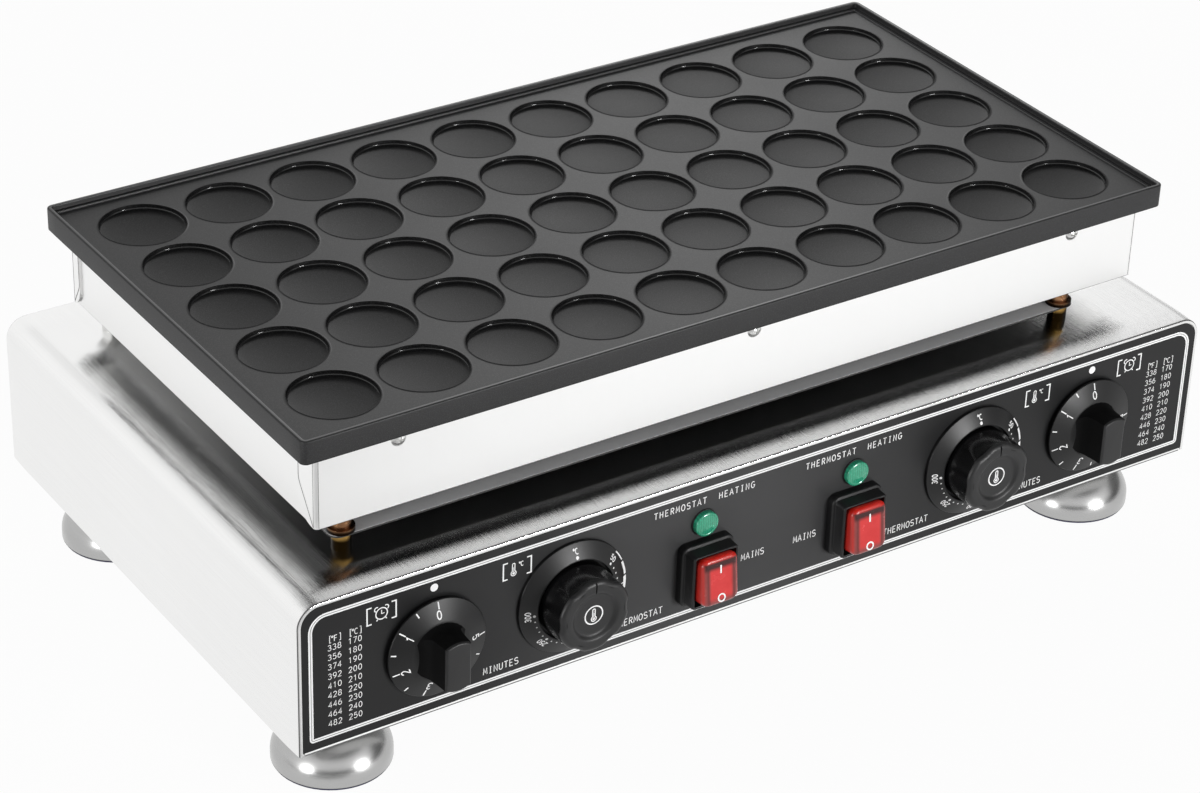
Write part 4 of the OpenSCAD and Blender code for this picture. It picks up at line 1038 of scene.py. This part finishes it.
DOT_R = 25.4
for side in SIDES:
    spot = middle("thermostat_bezel_" + side)
    body = "thermostat_" + side
    piece("dial_ring_" + side, moved(dial_ring(), on_face(spot.x, spot.z)), dial_black,
          stands_for=["thermostat_bezel_" + side], sharp=38)
    shape, tints = lobed_knob()
    piece("lobed_knob_" + side, moved(shape, on_face(spot.x, spot.z)), [gloss_black, satin_black], body=body,
          stands_for=["thermostat_knob_" + side], sharp=48, tints=tints)
    marks = [(0, [disc(0, DOT_R, 0.9)] + lettering("dC", 2.8, 0.5, at=(0, 27.2)))]
    for celsius in range(50, 301, 10):
        numbered = celsius % 50 == 0
        bands = [disc(0, DOT_R, 0.75 if numbered else 0.45, 12)]
        if numbered:
            bands += lettering(str(celsius), 2.7, 0.5, at=(0, 27.1))
        marks.append((heat_turn(celsius), bands))
    for start, end, weight in ((53, 66, 0.8), (68, 83, 1.5), (85, 99, 2.2)):
        middle_r = 32.5 - weight / 2
        marks.append((0, [strip(arc(0, 0, middle_r, middle_r, 90 - start, 90 - end, 8), weight)]))
    printed("heat_marks_" + side, joined(*[laid(bands, dial_place(spot.x, spot.z, -turn, ring_height))
                                           for turn, bands in marks]))
    sign = [strip(arc(0, 0, 5.3, 5.3, 0, 360, 36), 0.75)] + thermometer(7.4, 0.6)
    face = on_face(spot.x, spot.z, INK_LIFT)
    printed("knob_sign_" + side, laid(sign, lambda u, v: face(u, v, KNOB_TOP - FACE_DROP)),
            body=body)


# Rocker switches and pilot lamps

ROCKER_W, ROCKER_H, ROCKER_R, ROCKER_PIVOT = 23.2, 28.4, 4.8, 10.5
ROCKER_TILT = math.radians(-12.5)


def rocker_face(v):
    """Height of the rocker's face above its pivot."""
    return 7.0 + 0.11 * v + 0.002 * v * v


def rocker_cap():
    """Rocker about its pivot, level, in (across, up, out): upright walls under a face with round edges."""
    loops = [[(u, v, -4.5) for u, v in rounded_loop(ROCKER_W, ROCKER_H - 1.2, ROCKER_R)]]
    for inset, drop in ((0, 3.0), (0.15, 2.1), (0.55, 1.25), (1.2, 0.6), (2.1, 0.2),
                        (3.2, 0), (5.0, 0), (10.5, 0)):
        plan = rounded_loop(ROCKER_W - 2 * inset, ROCKER_H - 2 * inset, max(ROCKER_R - inset, 0.8))
        loops.append([(u, v, rocker_face(v) - drop) for u, v in plan])
    return loft(loops)


def switch_frame():
    """Two-step frame with the pocket for the rocker."""
    w, h = 29.0, 33.4
    step = [(0, -2.0), (3.9, -2.0), (4.5, -1.85), (4.9, -1.5), (5.0, -1.0), (5.2, -0.3), (5.7, 0)]
    wall = [(11.4, 0.2), (12.1, 0.45), (12.45, 0.8), (12.5, 1.1), (12.2, 1.85), (1.0, 1.85)]
    loops = []
    for out, inset in step + wall:
        plan = rounded_loop(w - 2 * inset, h - 2 * inset, 2.6 - min(inset, 1.8))
        loops.append([(u, v, out) for u, v in plan])
    return loft(loops)


for side in SIDES:
    spot = middle("switch_frame_" + side)
    face = on_face(spot.x, spot.z)
    piece("stepped_frame_" + side, moved(switch_frame(), face), frame_black,
          stands_for=["switch_frame_" + side], sharp=38)
    c, s = math.cos(ROCKER_TILT), math.sin(ROCKER_TILT)

    def tipped(u, v, out):
        """Places a point of the level rocker, tipped about its pivot."""
        return face(u, v * c - out * s, ROCKER_PIVOT + v * s + out * c)

    body = "switch_" + side
    piece("red_rocker_" + side, moved(rocker_cap(), tipped), rocker_red, body=body,
          stands_for=["rocker_" + side], sharp=50)
    signs = [strip([(0, 4.2), (0, 9.0)], 1.0), strip(arc(0, -10.2, 2.1, 2.1, 0, 360, 24), 0.9)]
    printed("rocker_signs_" + side, laid(signs, lambda u, v: tipped(u, v, rocker_face(v) + 2 * INK_LIFT)),
            body=body)
    spot = middle("lamp_lens_" + side)
    face = on_face(spot.x, spot.z)
    surround = lathe(eased([(7.2, 0, 0), (7.8, 0, 0), (7.8, 0.7, 0.3), (7.05, 0.7, 0.2), (7.05, 0.4, 0)], 4))
    piece("lamp_surround_" + side, moved(surround, face), frame_black, stands_for=["lamp_body_" + side])
    lens = lathe(eased([(7.15, 0.4, 0), (7.15, 3.4, 0.9), (6, 3.8, 0.5), (5.6, 3.6, 0.4), (2.6, 4.2, 1.5),
                        (0, 4.3, 0)], 5))
    piece("lamp_dome_" + side, moved(lens, face), lens_green,
          stands_for=["lamp_lens_" + side])


# Stage, light and camera

def plain_stage():
    """Pale floor that the camera sees as nearly white, with a faint shadow.

    Polished metal mirrors it as nearly white too, but dimmer far in front and before the left foot.
    """
    paper = finish_for("pale_floor")
    fleck = paper.noise(3)
    matt = paper.node("BsdfDiffuse", {"Color": paper.blend(fleck, (0.9, 0.9, 0.9), (0.92, 0.92, 0.92))})
    white = paper.node("Emission", {"Color": (1, 1, 1, 1), "Strength": 1.0})
    seen = paper.node("LightPath", out="Is Camera Ray")
    mirrored = paper.node("LightPath", out="Is Glossy Ray")
    toward = paper.axis("X") * 0.56 + paper.axis("Y") * 0.83
    near = toward.above(-400, 150) * (1 - toward.below(-300, 40) * paper.axis("X").below(-262, 40))
    share = seen * 0.96 + mirrored * (near * 0.78 + 0.14)
    floor_finish = paper.end(paper.node("MixShader", {0: share, 1: matt, 2: white}))
    reach, drop = 9000, -0.2
    mesh = bpy.data.meshes.new("floor")
    corners = [(-reach, -reach), (reach, -reach), (reach, reach), (-reach, reach)]
    mesh.from_pydata([Vector((x, y, drop)) * MM for x, y in corners], [], [(0, 1, 2, 3)])
    mesh.materials.append(floor_finish)
    floor = added("floor", mesh)


def studio_world():
    """White backdrop under a dark ceiling with a pale middle, dimmer in front and at the right."""
    studio = Finish(bpy.data.worlds.new("studio"), "ShaderNodeOutputWorld")
    way = studio.node("TexCoord", out="Generated")
    up = studio.node("SeparateXYZ", {0: way}, out="Z")
    back = studio.node("SeparateXYZ", {0: way}, out="Y").above(-0.25, 0.7)
    right = studio.node("SeparateXYZ", {0: way}, out="X").above(0.76, 0.24)
    seen = studio.node("LightPath", out="Is Camera Ray")
    spread = studio.node("LightPath", out="Is Diffuse Ray")
    backdrop = 1 - up.above(0.7, 0.34) * 0.9 + up.above(0.95, 0.08) * 0.5
    room = 0.2 + up.above(0.22, 0.14) * up.below(0.66, 0.3) * 0.85
    wall = (back + (1 - back) * room) * (1 - right * 0.8)
    strength = seen + (1 - seen) * backdrop * wall * (1 - spread * 0.35)
    sky = studio.node("Background", {"Color": (1, 1, 1, 1), "Strength": strength})
    bpy.context.scene.world = studio.end(sky)


def softbox(name, at, size, power, aim=(0, 0, 0.12)):
    """Square area light aimed at the object, in metres and watts."""
    lamp = bpy.data.lights.new(name, "AREA")
    lamp.size = size
    lamp.energy = power
    holder = added(name, lamp)
    holder.location = at
    holder.rotation_euler = (Vector(aim) - holder.location).to_track_quat("-Z", "Y").to_euler()


def photo_camera():
    """Camera at the photograph's viewpoint: angles in radians, place in metres, focal length in pixels."""
    azimuth, elevation, roll = 0.595372, 0.53292, -0.03266
    place = (-0.9564, -1.405562, 1.080862)
    focal_px, photo_w_px = 3485.142, 1200
    level = Vector((math.sin(azimuth), math.cos(azimuth), 0)) * math.cos(elevation)
    ahead = level - Vector((0, 0, math.sin(elevation)))
    right = ahead.cross(Vector((0, 0, 1))).normalized()
    down = ahead.cross(right)
    across = math.cos(roll) * right + math.sin(roll) * down
    up = math.sin(roll) * right - math.cos(roll) * down
    data = bpy.data.cameras.new("photo_view")
    data.sensor_width = 36.0
    data.lens = focal_px / photo_w_px * data.sensor_width
    data.clip_start, data.clip_end = 0.1, 50
    camera = added("photo_view", data)
    turn = Matrix((across, up, -ahead)).transposed().to_4x4()
    camera.matrix_world = Matrix.Translation(place) @ turn
    bpy.context.scene.camera = camera


plain_stage()
studio_world()
softbox("front_right", (0.6, -1.85, 0.3), 0.36, 22)
softbox("front_left", (-1.9, -0.6, 0.22), 0.25, 14)
softbox("rear", (1.85, 2.57, 1.9), 0.56, 14)
photo_camera()
bpy.context.scene.view_settings.view_transform = "Standard"
